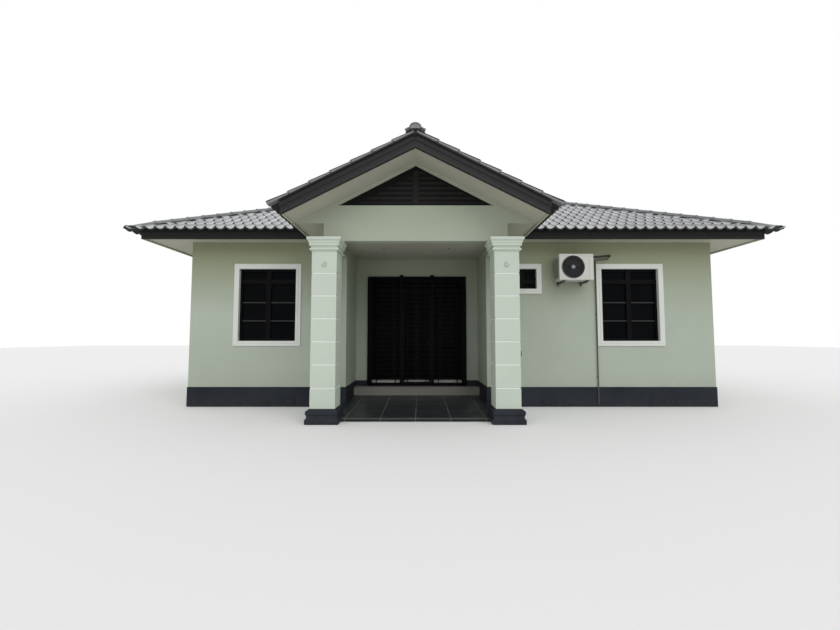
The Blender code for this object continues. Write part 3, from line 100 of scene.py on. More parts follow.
EAVE_KICK = 0.010           # lift of the first course's lower edge

# Ridge and hip caps
CAP_EXPOSURE = 0.313
CAP_FIRST = 0.47
CAP_LAP = 0.045
CAP_COLLAR = 0.038
CAP_GROW = 0.008
CAP_DOME = 0.088
CAP_FLANGE = 0.160
CAP_SHELL = 0.013
CAP_STEP, CAP_THIN = 0.002, 0.006
HIP_CROWN = 0.138           # above the mitre of the slopes' planes
HIP_SHOULDER = 0.084
NUB_HALF = 0.024            # block in the apex of the bargeboards
THREE_WAY_RADIUS, THREE_WAY_RISE = 0.15, 0.105
THREE_WAY_FOOT, THREE_WAY_FLAT = 0.045, 0.012
END_HALF, END_RISE, END_LIP = 0.082, 0.066, 0.014
PORCH_CROWN = 0.166
PORCH_SHOULDER = 0.092
PORCH_CAP_PAST = 0.02       # first cap past the verge tiles
PORCH_CAP_STOP = 0.16       # last one short of the valleys' top
TIP_REACH = 0.01            # pointed end of a hip past the tiles, along X and Y
TIP_LEAN = 1.2
TIP_DROP = 0.035            # how far that end dips

# Windows
FRONT_WINDOWS, SIDE_WINDOWS, BACK_WINDOWS = (-3.84, 3.72), (2.3, 6.7), (-2.9, 2.9)
SMALL_WINDOW = 1.477
SILL, HEAD, WIDTH = 1.345, 2.855, 1.19
SMALL_SILL, SMALL_WIDTH = 2.43, 0.60
SETBACK = 0.05
FRAME_BAR, MULLION = 0.05, 0.10
BAR_HEIGHTS = (1.765, 2.149)
BAR_TALL = 0.024
SURROUND, PROUD = 0.10, 0.02
SKIN = 0.0015
SURROUND_INNER = 0.045      # raised inner part of a surround
SURROUND_STEP = 0.006


def at(x, y, z):
    """House coordinates to the row frame."""
    return Vector((x, y + FACE_Y, z))


def make_camera():
    data = bpy.data.cameras.new("camera")
    data.sensor_width = 36.0
    data.lens = 16.5
    camera = bpy.data.objects.new("camera", data)
    camera.location = at(-0.66, -8.0, 1.41)
    camera.rotation_euler = (math.radians(93.4), 0.0, 0.0)
    bpy.context.scene.collection.objects.link(camera)
    bpy.context.scene.camera = camera


# Materials
class Paint:
    """A node material on object coordinates, built up socket by socket."""

    def __init__(self, name, roughness, specular):
        self.made = bpy.data.materials.new(name)
        self.made.use_nodes = True
        self.tree = self.made.node_tree
        self.shader = self.tree.nodes["Principled BSDF"]
        self.shader.inputs["Specular IOR Level"].default_value = specular
        self.shader.inputs["Roughness"].default_value = roughness
        self.place = self.tree.nodes.new("ShaderNodeTexCoord").outputs["Object"]

    def feed(self, socket, value):
        if isinstance(value, bpy.types.NodeSocket):
            self.tree.links.new(value, socket)
        else:
            socket.default_value = (*value, 1.0) if isinstance(value, tuple) else value

    def node(self, kind, *values):
        """A new node with its first inputs fed."""
        made = self.tree.nodes.new(kind)
        for socket, value in zip(made.inputs, values):
            self.feed(socket, value)
        return made

    def axes(self):
        return tuple(self.node("ShaderNodeSeparateXYZ", self.place).outputs)

    def upward(self):
        """How far a face looks along the object's own Z."""
        normal = self.place.node.outputs["Normal"]
        return self.node("ShaderNodeSeparateXYZ", normal).outputs[2]

    def stretched(self, *scale):
        """Object coordinates scaled along each axis."""
        made = self.node("ShaderNodeMapping", self.place)
        made.inputs["Scale"].default_value = scale
        return made.outputs[0]

    def noise(self, scale, detail=3.0, place=None):
        made = self.node("ShaderNodeTexNoise", place or self.place)
        made.inputs["Scale"].default_value = scale
        made.inputs["Detail"].default_value = detail
        return made.outputs[0]

    def random(self, first, second):
        """One random value for each pair of whole numbers."""
        both = self.node("ShaderNodeCombineXYZ", first, second)
        made = self.node("ShaderNodeTexWhiteNoise", both.outputs[0])
        made.noise_dimensions = "2D"
        return made.outputs[0]

    def calc(self, operation, first, *others):
        """One operation on one value, or on several from left to right."""
        for other in others or (0.0,):
            made = self.node("ShaderNodeMath", first, other)
            made.operation = operation
            first = made.outputs[0]
        return first

    def remap(self, value, low, high, to_low=0.0, to_high=1.0):
        return self.node("ShaderNodeMapRange", value, low, high, to_low, to_high).outputs[0]

    def patches(self, scale, detail=3.0, low=0.3, high=0.7, place=None):
        """Noise stretched to the whole range from 0 to 1."""
        return self.remap(self.noise(scale, detail, place), low, high)

    def mix(self, factor, first, second):
        made = self.node("ShaderNodeMix", factor)
        made.data_type = "RGBA"
        self.feed(made.inputs[6], first)
        self.feed(made.inputs[7], second)
        return made.outputs[2]

    def over(self, base, mask, strength, colour):
        """A colour laid over the base where the mask is, at most that strongly."""
        return self.mix(self.calc("MULTIPLY", mask, strength), base, colour)

    def colour(self, value):
        self.feed(self.shader.inputs["Base Color"], value)

    def gloss(self, value):
        self.feed(self.shader.inputs["Roughness"], value)

    def bump(self, height, distance):
        made = self.tree.nodes.new("ShaderNodeBump")
        self.feed(made.inputs["Distance"], distance)
        self.feed(made.inputs["Height"], height)
        self.tree.links.new(made.outputs[0], self.shader.inputs["Normal"])


def render_paint(name, dark, light):
    """Painted render: slow blotches, a fine trowelled grain and a little dust."""
    paint = Paint(name, 0.85, 0.25)
    slow = paint.patches(0.9, 4.0)
    fine = paint.patches(38.0, 4.0, 0.35, 0.65)
    shade = tuple(0.5 * (a + b) for a, b in zip(dark, light))
    paint.colour(paint.over(paint.mix(slow, dark, light), fine, 0.4, shade))
    paint.bump(paint.noise(160.0), 0.0006)
    return paint.made


def wall_paint():
    """Sage render, darkened by painted shade towards and under the eaves, with faint rain streaks and splash
    dirt above the band.
    """
    paint = Paint("sage_render", 0.85, 0.25)
    across, depth, height = paint.axes()
    slow = paint.patches(0.8, 4.0)
    base = paint.mix(slow, (0.372, 0.420, 0.348), (0.410, 0.462, 0.388))
    # Painted shade: the wall turns darker and more olive towards its top.
    base = paint.mix(paint.remap(height, 2.3, 3.5, 0.0, 0.4), base, (0.350, 0.372, 0.265))
    # Painted shade under the eaves, on the walls behind the gable, weaker beside the porch recess.
    behind_gable = paint.remap(depth, -4.5, -3.95)
    aside = paint.calc("ABSOLUTE", paint.calc("SUBTRACT", across, PORCH_X))
    beside_recess = paint.remap(aside, 1.5, 1.7, 0.35, 1.0)
    high = paint.remap(height, 1.9, 3.3, 0.0, 0.75)
    painted_eave_shade = paint.calc("MULTIPLY", high, behind_gable, beside_recess)
    base = paint.mix(painted_eave_shade, base, (0.215, 0.228, 0.120))
    streaks = paint.patches(5.0, 3.0, 0.52, 0.78, paint.stretched(1.6, 1.6, 0.12))
    base = paint.over(base, streaks, 0.07, (0.30, 0.33, 0.25))
    splash = paint.calc("MULTIPLY", paint.remap(height, 0.75, 0.40), paint.noise(7.0, 4.0))
    paint.colour(paint.over(base, splash, 0.30, (0.27, 0.27, 0.22)))
    paint.bump(paint.noise(170.0), 0.0006)
    return paint.made


def band_paint():
    """Charcoal paint with dust that thickens towards the ground."""
    paint = Paint("charcoal_paint", 0.6, 0.15)
    low = paint.remap(paint.axes()[2], 0.30, 0.0)
    dust = paint.calc("MULTIPLY", low, paint.patches(9.0, 3.0, 0.35, 0.7))
    slow = paint.patches(1.4)
    base = paint.mix(slow, (0.013, 0.016, 0.021), (0.022, 0.027, 0.035))
    paint.colour(paint.over(base, dust, 0.10, (0.16, 0.14, 0.115)))
    paint.bump(paint.noise(150.0), 0.0005)
    return paint.made


def board_paint(name, dark, light, roughness=0.5):
    """Painted board with a faint grain along X."""
    paint = Paint(name, roughness, 0.15)
    grain = paint.patches(14.0, 5.0, place=paint.stretched(0.5, 6.0, 6.0))
    paint.colour(paint.mix(grain, dark, light))
    paint.bump(grain, 0.0004)
    return paint.made


def soffit_paint(name, joints):
    """Fibre board, with joints every so often along X where joints is above zero."""
    paint = Paint(name, 0.75, 0.25)
    along = paint.calc("ADD", paint.axes()[0], 50 * BOARD_LENGTH)
    joint = paint.calc("LESS_THAN", paint.calc("FRACT", paint.calc("DIVIDE", along, BOARD_LENGTH)), 0.003)
    base = paint.mix(paint.noise(2.0), (0.405, 0.402, 0.330), (0.465, 0.460, 0.382))
    paint.colour(paint.over(base, joint, joints, (0.17, 0.165, 0.14)))
    paint.bump(paint.noise(90.0), 0.0003)
    return paint.made


def tile_paint():
    """Glazed tile: each has its own tone, with painted shadow under the laps, and painted shade along the
    rolls' crests, on the butt faces by the rolls and at the eave, and on the undersides.
    """
    paint = Paint("roof_tile", 0.3, 0.7)
    u, v, _ = paint.axes()
    upward = paint.upward()
    across = paint.calc("DIVIDE", u, TILE_WIDTH)
    along = paint.calc("DIVIDE", v, TILE_EXPOSURE)
    shade = paint.random(paint.calc("FLOOR", across), paint.calc("FLOOR", along))
    base = paint.mix(shade, (0.37, 0.38, 0.395), (0.47, 0.48, 0.495))
    base = paint.over(base, paint.patches(26.0, 5.0, 0.4, 0.75), 0.3, (0.52, 0.525, 0.525))
    side = paint.calc("ABSOLUTE", paint.calc("SUBTRACT", paint.calc("FRACT", across), 0.5))
    # Painted shade: a dark stripe along each of the rolls' crests.
    painted_roll_shade = paint.remap(side, 0.38, 0.425)
    base = paint.over(base, painted_roll_shade, 0.45, (0.022, 0.024, 0.028))
    # Painted shadow under each course's lap.
    painted_lap_shadow = paint.remap(paint.calc("FRACT", along), 0.97, 0.99)
    base = paint.over(base, painted_lap_shadow, 0.15, (0.03, 0.031, 0.033))
    # Painted shade on faces that do not look up: full at the eave, by the rolls and underneath, faint
    # elsewhere.
    at_eave = paint.remap(along, 0.03, 0.10, 1.0, 0.0)
    near_roll = paint.remap(side, 0.24, 0.36)
    beneath = paint.remap(upward, 0.0, -0.3)
    hollow = paint.remap(paint.calc("MAXIMUM", at_eave, near_roll, beneath), 0.0, 1.0, 0.10, 1.0)
    edge = paint.calc("MULTIPLY", paint.remap(upward, 0.62, 0.40), hollow)
    paint.colour(paint.mix(edge, base, (0.012, 0.013, 0.014)))
    paint.gloss(paint.remap(paint.calc("MAXIMUM", painted_roll_shade, painted_lap_shadow, edge), 0.0, 1.0, 0.22, 0.8))
    paint.bump(paint.noise(120.0, 4.0), 0.0004)
    return paint.made


def cap_paint():
    """Weathered cap tile, greyer and duller than the field."""
    paint = Paint("cap_tile", 0.42, 0.5)
    slow = paint.patches(5.0, 4.0)
    base = paint.mix(slow, (0.135, 0.147, 0.149), (0.205, 0.218, 0.218))
    paint.colour(paint.mix(paint.patches(60.0, 3.0, 0.55, 0.8), base, (0.26, 0.26, 0.25)))
    paint.bump(paint.noise(110.0, 4.0), 0.0005)
    return paint.made


def floor_tile_paint():
    """Charcoal porcelain with a fine speckle."""
    paint = Paint("porch_tile", 0.34, 0.25)
    speck = paint.patches(220.0, 2.0, 0.45, 0.7)
    base = paint.mix(paint.noise(3.0), (0.016, 0.020, 0.022), (0.024, 0.029, 0.031))
    paint.colour(paint.over(base, speck, 0.12, (0.07, 0.075, 0.075)))
    paint.gloss(paint.remap(paint.noise(4.0, 4.0), 0.3, 0.7, 0.30, 0.40))
    return paint.made


def nosing_paint():
    """Edge tile: paler on its top, and near-black as painted shade on its front and other faces that do not
    look up.
    """
    paint = Paint("porch_nosing", 0.35, 0.3)
    top_tone = paint.mix(paint.noise(12.0, 4.0), (0.10, 0.105, 0.10), (0.16, 0.165, 0.16))
    # Painted shade: faces that do not look up are near-black.
    paint.colour(paint.mix(paint.remap(paint.upward(), 0.5, 0.9), (0.006, 0.007, 0.008), top_tone))
    return paint.made


def glass_paint():
    """Tinted pane, painted near-black in soft blotches as the shade of the unlit rooms behind it."""
    paint = Paint("dark_glass", 0.05, 0.02)
    # Painted shade of the dark interior seen through the pane.
    room_shade = paint.patches(1.3, 2.0)
    paint.colour(paint.mix(room_shade, (0.0015, 0.002, 0.0025), (0.004, 0.0045, 0.005)))
    return paint.made


def metal_paint(name, dark, light, roughness=0.4, specular=0.4):
    """Sprayed coat on metal, with a fine orange peel."""
    paint = Paint(name, roughness, specular)
    paint.colour(paint.mix(paint.noise(6.0, 4.0), dark, light))
    paint.gloss(paint.remap(paint.noise(18.0), 0.3, 0.7, roughness - 0.06, roughness + 0.08))
    paint.bump(paint.noise(260.0, 2.0), 0.0002)
    return paint.made


def wrap_paint():
    """Foam sleeve under tape: bands along the pipe."""
    paint = Paint("pipe_wrap", 0.7, 0.3)
    band = paint.calc("FRACT", paint.calc("MULTIPLY", paint.axes()[0], 28.0))
    paint.colour(paint.mix(band, (0.012, 0.012, 0.013), (0.03, 0.03, 0.032)))
    paint.bump(band, 0.002)
    return paint.made


def make_paints():
    return {
        "wall": wall_paint(),
        "trim": render_paint("white_trim", (0.60, 0.62, 0.585), (0.67, 0.69, 0.65)),
        "column": render_paint("column_render", (0.505, 0.565, 0.490), (0.550, 0.610, 0.530)),
        "groove": render_paint("groove_paint", (0.80, 0.82, 0.80), (0.86, 0.88, 0.86)),
        "band": band_paint(),
        "step": render_paint("step_screed", (0.20, 0.19, 0.170), (0.26, 0.245, 0.220)),
        "slab": render_paint("floor_screed", (0.33, 0.32, 0.30), (0.42, 0.41, 0.38)),
        "mortar": render_paint("tile_mortar", (0.36, 0.36, 0.34), (0.46, 0.46, 0.44)),
        "floor": floor_tile_paint(),
        "nosing": nosing_paint(),
        "board": board_paint("dark_board", (0.017, 0.0165, 0.0165), (0.027, 0.026, 0.026)),
        # Bead: the board's paint made lighter, as a painted highlight on the moulding.
        "bead": board_paint("board_bead_highlight", (0.024, 0.0235, 0.023), (0.036, 0.035, 0.034)),
        "louvre": board_paint("louvre_board", (0.0025, 0.0025, 0.0025), (0.005, 0.005, 0.005), 0.6),
        # Blade edges: the louvre's paint made lighter, as a painted highlight on the front edges.
        "blade": board_paint("louvre_blade_edge", (0.012, 0.0115, 0.011), (0.020, 0.019, 0.0185), 0.6),
        "deck": board_paint("roof_batten", (0.010, 0.009, 0.008), (0.020, 0.018, 0.016), 0.8),
        "soffit": soffit_paint("soffit_paint", 0.0),
        "eaves": soffit_paint("eave_paint", 0.5),
        "tile": tile_paint(),
        "cap": cap_paint(),
        "glass": glass_paint(),
        "black": metal_paint("black_frame", (0.0025, 0.0025, 0.003), (0.005, 0.005, 0.006), 0.38, 0.05),
        "bar": metal_paint("glazing_bar", (0.022, 0.022, 0.023), (0.034, 0.034, 0.035), 0.4, 0.2),
        "case": metal_paint("unit_case", (0.50, 0.505, 0.46), (0.56, 0.565, 0.515), 0.45),
        "steel": metal_paint("black_steel", (0.040, 0.042, 0.044), (0.060, 0.062, 0.064), 0.5),
        "hub": metal_paint("fan_hub", (0.20, 0.21, 0.21), (0.26, 0.27, 0.27), 0.45),
        # Near-black: painted shade inside the fan housing, on its blades, back and ring; also used for the
        # coil on the unit's side.
        "hollow": metal_paint("fan_interior_shade", (0.010, 0.011, 0.012), (0.018, 0.019, 0.020), 0.6, 0.1),
        "bracket": metal_paint("bracket_steel", (0.060, 0.055, 0.045), (0.12, 0.11, 0.09), 0.55),
        "cable": metal_paint("cable_sheath", (0.40, 0.40, 0.38), (0.47, 0.47, 0.45), 0.5),
        "wrap": wrap_paint(),
        "pipe": metal_paint("grey_pipe", (0.055, 0.058, 0.055), (0.10, 0.105, 0.10), 0.5, 0.3),
    }


paints = make_paints()
NODE_PAINTS = {
    "plinth_band": "band", "floor_slab": "slab", "door_step": "step", "porch_floor": "mortar",
    "left_column": "column", "right_column": "column", "gable_louvre": "louvre",
    "bargeboards": "board", "eave_soffit": "eaves", "verge_soffit": "soffit",
    "porch_ceiling": "soffit", "door_frame": "black", "ac_unit": "case", "ac_fan_guard": "steel",
    "ac_pipe": "wrap", "ac_drain": "pipe",
}
FAMILY_PAINTS = {"fascia": "board", "_cap": "cap", "roof": "tile", "_glass": "glass", "window": "black",
                 "grille": "black", "ac_bracket": "bracket"}


def paint_of(name):
    """Which paint a carried-over CAD node takes: its own, its family's or the walls'."""
    families = [paint for family, paint in FAMILY_PAINTS.items() if family in name]
    return NODE_PAINTS.get(name) or (families + ["wall"])[0]


def paint_frame():
    for name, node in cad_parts.items():
        node.data.materials.clear()
        node.data.materials.append(paints[paint_of(name)])


# Meshes
SQUARE = ((-1, -1), (1, -1), (1, 1), (-1, 1))


def angles(count):
    """Equal steps once round a circle."""
    return [math.tau * i / count for i in range(count)]


def level_ring(x, y, z, radius, count):
    return [at(x + radius * math.cos(a), y + radius * math.sin(a), z) for a in angles(count)]


def arc(centre_out, centre_up, out, up, start, end, steps=6):
    """Points of an arc between two angles in degrees."""
    turns = [math.radians(start + (end - start) * i / steps) for i in range(steps + 1)]
    return [(centre_out + out * math.cos(a), centre_up + up * math.sin(a)) for a in turns]


def add_rings(shape, rings, closed=False):
    """A stack of equal rings of points as one solid, capped at its ends or closed on itself."""
    loops = [[shape.verts.new(point) for point in ring] for ring in rings]
    count = len(loops[0])
    following = loops[1:] + (loops[:1] if closed else [])
    for lower, upper in zip(loops, following):
        for i in range(count):
            j = (i + 1) % count
            shape.faces.new((lower[i], lower[j], upper[j], upper[i]))
    if not closed:
        shape.faces.new(loops[0])
        shape.faces.new(loops[-1])


def add_box(shape, low, high):
    """A box between two corners in house coordinates."""
    (x0, y0, z0), (x1, y1, z1) = low, high
    corners = ((x0, y0), (x1, y0), (x1, y1), (x0, y1))
    add_rings(shape, [[at(x, y, z) for x, y in corners] for z in (z0, z1)])


def add_prism(shape, outline, low, high):
    """A plan outline between two heights, each a number or a function of x and y."""
    bottom = low if callable(low) else (lambda x, y: low)
    top = high if callable(high) else (lambda x, y: high)
    add_rings(shape, [[at(x, y, bottom(x, y)) for x, y in outline],
                      [at(x, y, top(x, y)) for x, y in outline]])


def place_data(name, data):
    made = bpy.data.objects.new(name, data)
    bpy.context.collection.objects.link(made)
    return made


def to_object(name, shape):
    bmesh.ops.recalc_face_normals(shape, faces=shape.faces[:])
    mesh = bpy.data.meshes.new(name)
    shape.to_mesh(mesh)
    shape.free()
    return place_data(name, mesh)


def finish(made, paint, slot, body="house", bevel=0.0, smooth=None, stands_for=()):
    """Gives a piece its named paint, its edges and its shading, and lets it ride on its body."""
    made.data.materials.clear()
    made.data.materials.append(paints[paint])
    if bevel:
        rounded = made.modifiers.new("edges", "BEVEL")
        rounded.width = bevel
        rounded.segments = 2
        rounded.limit_method = "ANGLE"
        rounded.angle_limit = math.radians(40)
    if smooth:
        made.data.shade_smooth()
        made.data.set_sharp_from_angle(angle=math.radians(smooth))
    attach(made, body)
    if stands_for:
        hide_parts(*stands_for)
    return made


def piece(name, shape, paint, slot, **rest):
    return finish(to_object(name, shape), paint, slot, **rest)


def ring_piece(name, rings, paint, slot, closed=False, **rest):
    shape = bmesh.new()
    add_rings(shape, rings, closed)
    return piece(name, shape, paint, slot, **rest)


def box_piece(name, boxes, paint, slot, **rest):
    """A piece of boxes, each given by two corners in house coordinates."""
    shape = bmesh.new()
    for low, high in boxes:
        add_box(shape, low, high)
    return piece(name, shape, paint, slot, **rest)


def keep_inside(made, outline, low, high):
    """Trims a closed mesh along the upright sides of a plan outline."""
    shape = bmesh.new()
    add_prism(shape, outline, low, high)
    bounds = to_object("bounds", shape)
    cut = made.modifiers.new("trim", "BOOLEAN")
    cut.operation = "INTERSECT"
    cut.solver = "MANIFOLD"
    cut.object = bounds
    bpy.context.view_layer.update()
    graph = bpy.context.evaluated_depsgraph_get()
    mesh = bpy.data.meshes.new_from_object(made.evaluated_get(graph))
    made.modifiers.clear()
    made.data = mesh
    bpy.data.objects.remove(bounds, do_unlink=True)


# Roof
def plans(overhang):
    """Plan outlines of the six slopes, for an edge that far past the fascias."""
    x = FASCIA_X + overhang
    front = FASCIA_FRONT_Y - overhang
    back = FASCIA_BACK_Y + overhang
    left, right = PORCH_X - PORCH_HALF - overhang, PORCH_X + PORCH_HALF + overhang
    ridge_left, ridge_right = (-RIDGE_HALF, MIDDLE_Y), (RIDGE_HALF, MIDDLE_Y)
    apex = (PORCH_X, VALLEY_APEX_Y)
    return {
        "roof_front": [(-x, front), (left, front), apex, (right, front), (x, front), ridge_right,
                       ridge_left],
        "roof_back": [(x, back), (-x, back), ridge_left, ridge_right],
        "roof_left": [(-x, back), (-x, front), ridge_left],
        "roof_right": [(x, front), (x, back), ridge_right],
        "porch_roof_left": [(left, VERGE_TILE_Y), (PORCH_X, VERGE_TILE_Y), apex, (left, front)],
        "porch_roof_right": [(PORCH_X, VERGE_TILE_Y), (right, VERGE_TILE_Y), (right, front), apex],
    }


def slope_frames():
    """For each slope: a point of its eave, the way up in plan, its span, length and shift."""
    x = FASCIA_X + OVERHANG
    half = PORCH_HALF + OVERHANG
    front, back = FASCIA_FRONT_Y - OVERHANG, FASCIA_BACK_Y + OVERHANG
    long, short = HIP_RUN / RUN, half / RUN
    return {
        "roof_front": ((0, front), (0, 1), -x, x, long, 0.03),
        "roof_back": ((0, back), (0, -1), -x, x, long, 0.03),
        "roof_left": ((-x, MIDDLE_Y), (1, 0), -HIP_RUN, HIP_RUN, long, 0.0),
        "roof_right": ((x, MIDDLE_Y), (-1, 0), -HIP_RUN, HIP_RUN, long, 0.0),
        "porch_roof_left": ((PORCH_X - half, 0), (1, 0), -VALLEY_APEX_Y, -VERGE_TILE_Y, short, 0.10),
        "porch_roof_right": ((PORCH_X + half, 0), (-1, 0), VERGE_TILE_Y, VALLEY_APEX_Y, short, 0.10),
    }


def wave(turns):
    """Height across the tiles: wide round pans between narrow rolls."""
    return TILE_WAVE * (1 - np.sqrt(np.sin(np.pi * turns) ** 2 + WAVE_ROUND))


def sheet_mesh(name, low_u, high_u, length):
    """Courses of waved tiles as one closed mesh in (along, up the slope, out) coordinates."""
    first = math.floor((low_u - SHEET_PAST) / TILE_WIDTH)
    last = math.ceil((high_u + SHEET_PAST) / TILE_WIDTH)
    turns = np.concatenate([k + np.array(WAVE_STEPS) for k in range(first, last)] + [[last]])
    lift = wave(turns)
    butt = TILE_BUTT + ROLL_BUTT * np.clip(lift / lift.max(), 0, 1) ** ROLL_SHARP
    tile = np.floor(turns - first + 0.5).astype(int).clip(0, last - first)
    courses = math.ceil((length + SHEET_UP) / TILE_EXPOSURE)
    source = np.random.default_rng(TILE_SEED)
    rows = []
    for k in range(courses):
        uneven = source.uniform(-TILE_JITTER, TILE_JITTER, last - first + 1)[tile]
        start = k * TILE_EXPOSURE
        kick = 0.0 if k else EAVE_KICK
        rows += [(start, lift + kick), (start + BUTT_EDGE, lift + butt * 0.75 + uneven + kick),
                 (start + BUTT_RUN, lift + butt + uneven + kick)]
    rows.append((courses * TILE_EXPOSURE, lift))
    levels = len(rows)
    rows += [(v, lift - TILE_THICKNESS) for v in (0.0, courses * TILE_EXPOSURE)]
    count = len(turns)
    points = [np.stack([turns * TILE_WIDTH, np.full(count, v), PAN_TOP + h], 1) for v, h in rows]
    index = np.arange(len(rows) * count).reshape(len(rows), count)
    under, under_top = index[levels], index[levels + 1]
    pairs = list(zip(index[:levels - 1], index[1:levels]))
    pairs += [(under_top, under), (under, index[0]), (index[levels - 1], under_top)]
    faces = np.concatenate([np.stack([near[:-1], near[1:], far[1:], far[:-1]], 1)
                            for near, far in pairs]).tolist()
    faces.append(index[:levels, 0].tolist() + [int(under_top[0]), int(under[0])])
    faces.append(index[:levels, -1].tolist()[::-1] + [int(under[-1]), int(under_top[-1])])
    mesh = bpy.data.meshes.new(name)
    mesh.from_pydata(np.concatenate(points).tolist(), [], faces)
    return mesh


def shrink(outline, distance):
    """Moves each side of an anticlockwise plan outline inwards."""
    moved = []
    for i, here in enumerate(outline):
        here = Vector(here)
        into = (here - Vector(outline[i - 1])).normalized()
        out = (Vector(outline[(i + 1) % len(outline)]) - here).normalized()
        first, second = Vector((-into.y, into.x)), Vector((-out.y, out.x))
        middle = (first + second).normalized()
        moved.append(tuple(here + middle * (distance / middle.dot(first))))
    return moved


def make_tiles():
    outlines = plans(OVERHANG + CUT_REACH)
    for name, (eave, way, low_u, high_u, length, shift) in slope_frames().items():
        mesh = sheet_mesh(name + "_tiles", low_u - shift, high_u - shift, length)
        sheet = place_data(name + "_tiles", mesh)
        up = Vector((way[0] * RUN, way[1] * RUN, RISE))
        out = Vector((-way[0] * RISE, -way[1] * RISE, RUN))
        place = Matrix((up.cross(out), up, out)).transposed().to_4x4()
        place.translation = at(*eave, EAVE_Z) + up.cross(out) * shift
        sheet.matrix_world = place
        keep_inside(sheet, shrink(outlines[name], TRIM_GAP), CUT_LOW, CUT_HIGH)
        finish(sheet, "tile", "roof_tile", smooth=38, stands_for=(name,))


def under_slope(name):
    """Height of a slope's lower plane over a plan point."""
    if name.startswith("porch"):
        return lambda x, y: APEX_Z - abs(x - PORCH_X) * SLOPE
    if name == "roof_front":
        return lambda x, y: FASCIA_TOP + (y - FASCIA_FRONT_Y) * SLOPE
    if name == "roof_back":
        return lambda x, y: FASCIA_TOP + (FASCIA_BACK_Y - y) * SLOPE
    return lambda x, y: FASCIA_TOP + (FASCIA_X - abs(x)) * SLOPE


def make_deck():
    """Boarding under the tiles, from the fascias inwards."""
    for name, outline in plans(0.0).items():
        under = under_slope(name)
        shape = bmesh.new()
        add_prism(shape, shrink(outline, DECK_GAP), lambda x, y: under(x, y) + DECK_GAP,
                  lambda x, y: under(x, y) + DECK_TOP)
        piece(name + "_deck", shape, "deck", "dark_board")


def cap_section(form, grow):
    """Ring of (out, up) points: a dome between two flanges, and its hollow underside."""
    crown, shoulder, fall = form
    dome, flange = CAP_DOME + grow, CAP_FLANGE + grow
    foot = shoulder - fall * (flange - dome) + grow
    outer = [(flange, foot)]
    outer += arc(0, shoulder + grow, dome, crown - shoulder, 0, 180, 12)
    outer.append((-flange, foot))
    return outer + [(out * (1 - CAP_SHELL / flange), up - CAP_SHELL) for out, up in reversed(outer)]


def add_cap(shape, place, start, end, form, pointed=False):
    """One cap tile: a raised collar at its lower end, thinner where the next one laps it."""
    stations = ((start, CAP_GROW), (start + CAP_COLLAR, CAP_GROW), (start + CAP_COLLAR + CAP_STEP, 0.0),
                (end + CAP_LAP, -CAP_THIN))
    rings = []
    for number, (along, grow) in enumerate(stations):
        ring = []
        for out, up in cap_section(form, grow):
            back = drop = 0.0
            if pointed:
                drop = min(TIP_DROP * (end - along) / (end - start), TIP_DROP)
            if pointed and number < 3:
                back = abs(out) + (form[0] - up) * TIP_LEAN
            ring.append(place(along + back, out, up - drop))
        rings.append(ring)
    add_rings(shape, rings)


def cap_row(name, place, start, end, form, node, first=CAP_EXPOSURE, pointed=False):
    """A row of caps from its low end, each of (crown, shoulder, fall) above the mitre."""
    shape = bmesh.new()
    add_cap(shape, place, start, start + first, form, pointed)
    here = start + first
    while here < end - 0.02:
        add_cap(shape, place, here, min(here + CAP_EXPOSURE, end), form)
        here += CAP_EXPOSURE
    return piece(name, shape, "cap", "roof_tile", smooth=35, stands_for=(node,))


def make_hip_caps():
    diagonal = math.sqrt(2)
    fall = SLOPE / diagonal
    slant = math.sqrt(1 + fall ** 2)
    end_along = HIP_RUN * diagonal * slant - 0.02
    tip = -TIP_REACH * diagonal * slant
    for name, side, end in (("hip_cap_front_left", -1, -1), ("hip_cap_front_right", 1, -1),
                            ("hip_cap_back_left", -1, 1), ("hip_cap_back_right", 1, 1)):

        def on_hip(along, out, up, side=side, end=end):
            plan = along / slant
            x = side * (FASCIA_X + OVERHANG - (plan + out) / diagonal)
            y = MIDDLE_Y + end * (HIP_RUN - (plan - out) / diagonal)
            return at(x, y, EAVE_Z + plan * fall + up)

        cap_row(name + "_tiles", on_hip, tip, end_along, (HIP_CROWN, HIP_SHOULDER, fall), name,
                first=CAP_FIRST - tip, pointed=True)


def make_ridge_caps():
    """Caps of both ridges, domes where three runs meet, and the closed end over the gable."""
    ridge_z = EAVE_Z + HIP_RUN * SLOPE

    def on_ridge(along, out, up):
        return at(along, MIDDLE_Y + out, ridge_z + up)

    def on_porch(along, out, up):
        return at(PORCH_X + out, along, APEX_Z + up)

    cap_row("ridge_cap_tiles", on_ridge, -RIDGE_HALF, RIDGE_HALF - CAP_LAP,
            (HIP_CROWN, HIP_SHOULDER, SLOPE), "ridge_cap")
    cap_row("porch_cap_tiles", on_porch, VERGE_TILE_Y - PORCH_CAP_PAST, VALLEY_APEX_Y - PORCH_CAP_STOP,
            (PORCH_CROWN, PORCH_SHOULDER, SLOPE), "porch_ridge_cap")
    for name, side in (("three_way_cap_left", -1), ("three_way_cap_right", 1)):
        rings = [level_ring(side * RIDGE_HALF, MIDDLE_Y, ridge_z + THREE_WAY_FOOT + up,
                            out + THREE_WAY_FLAT, 24)
                 for out, up in arc(0, 0, THREE_WAY_RADIUS, THREE_WAY_RISE, 0, 90)]
        ring_piece(name, rings, "cap", "roof_tile", smooth=40)
    closing = arc(0, PORCH_SHOULDER, END_HALF, END_RISE, 0, 180, 16)
    closing += [(side * END_HALF, PORCH_SHOULDER - END_LIP) for side in (-1, 1)]
    ring_piece("porch_cap_end", [[on_porch(y, out, up) for out, up in closing]
                                 for y in (VERGE_TILE_Y - 0.012, VERGE_TILE_Y + 0.05)],
               "cap", "roof_tile", smooth=40)
    box_piece("gable_apex_block", [((PORCH_X - NUB_HALF, VERGE_TILE_Y - 0.010, APEX_Z - 0.040),
                                    (PORCH_X + NUB_HALF, VERGE_TILE_Y + 0.05, APEX_Z + 0.070))],
              "deck", "dark_board", bevel=0.004)


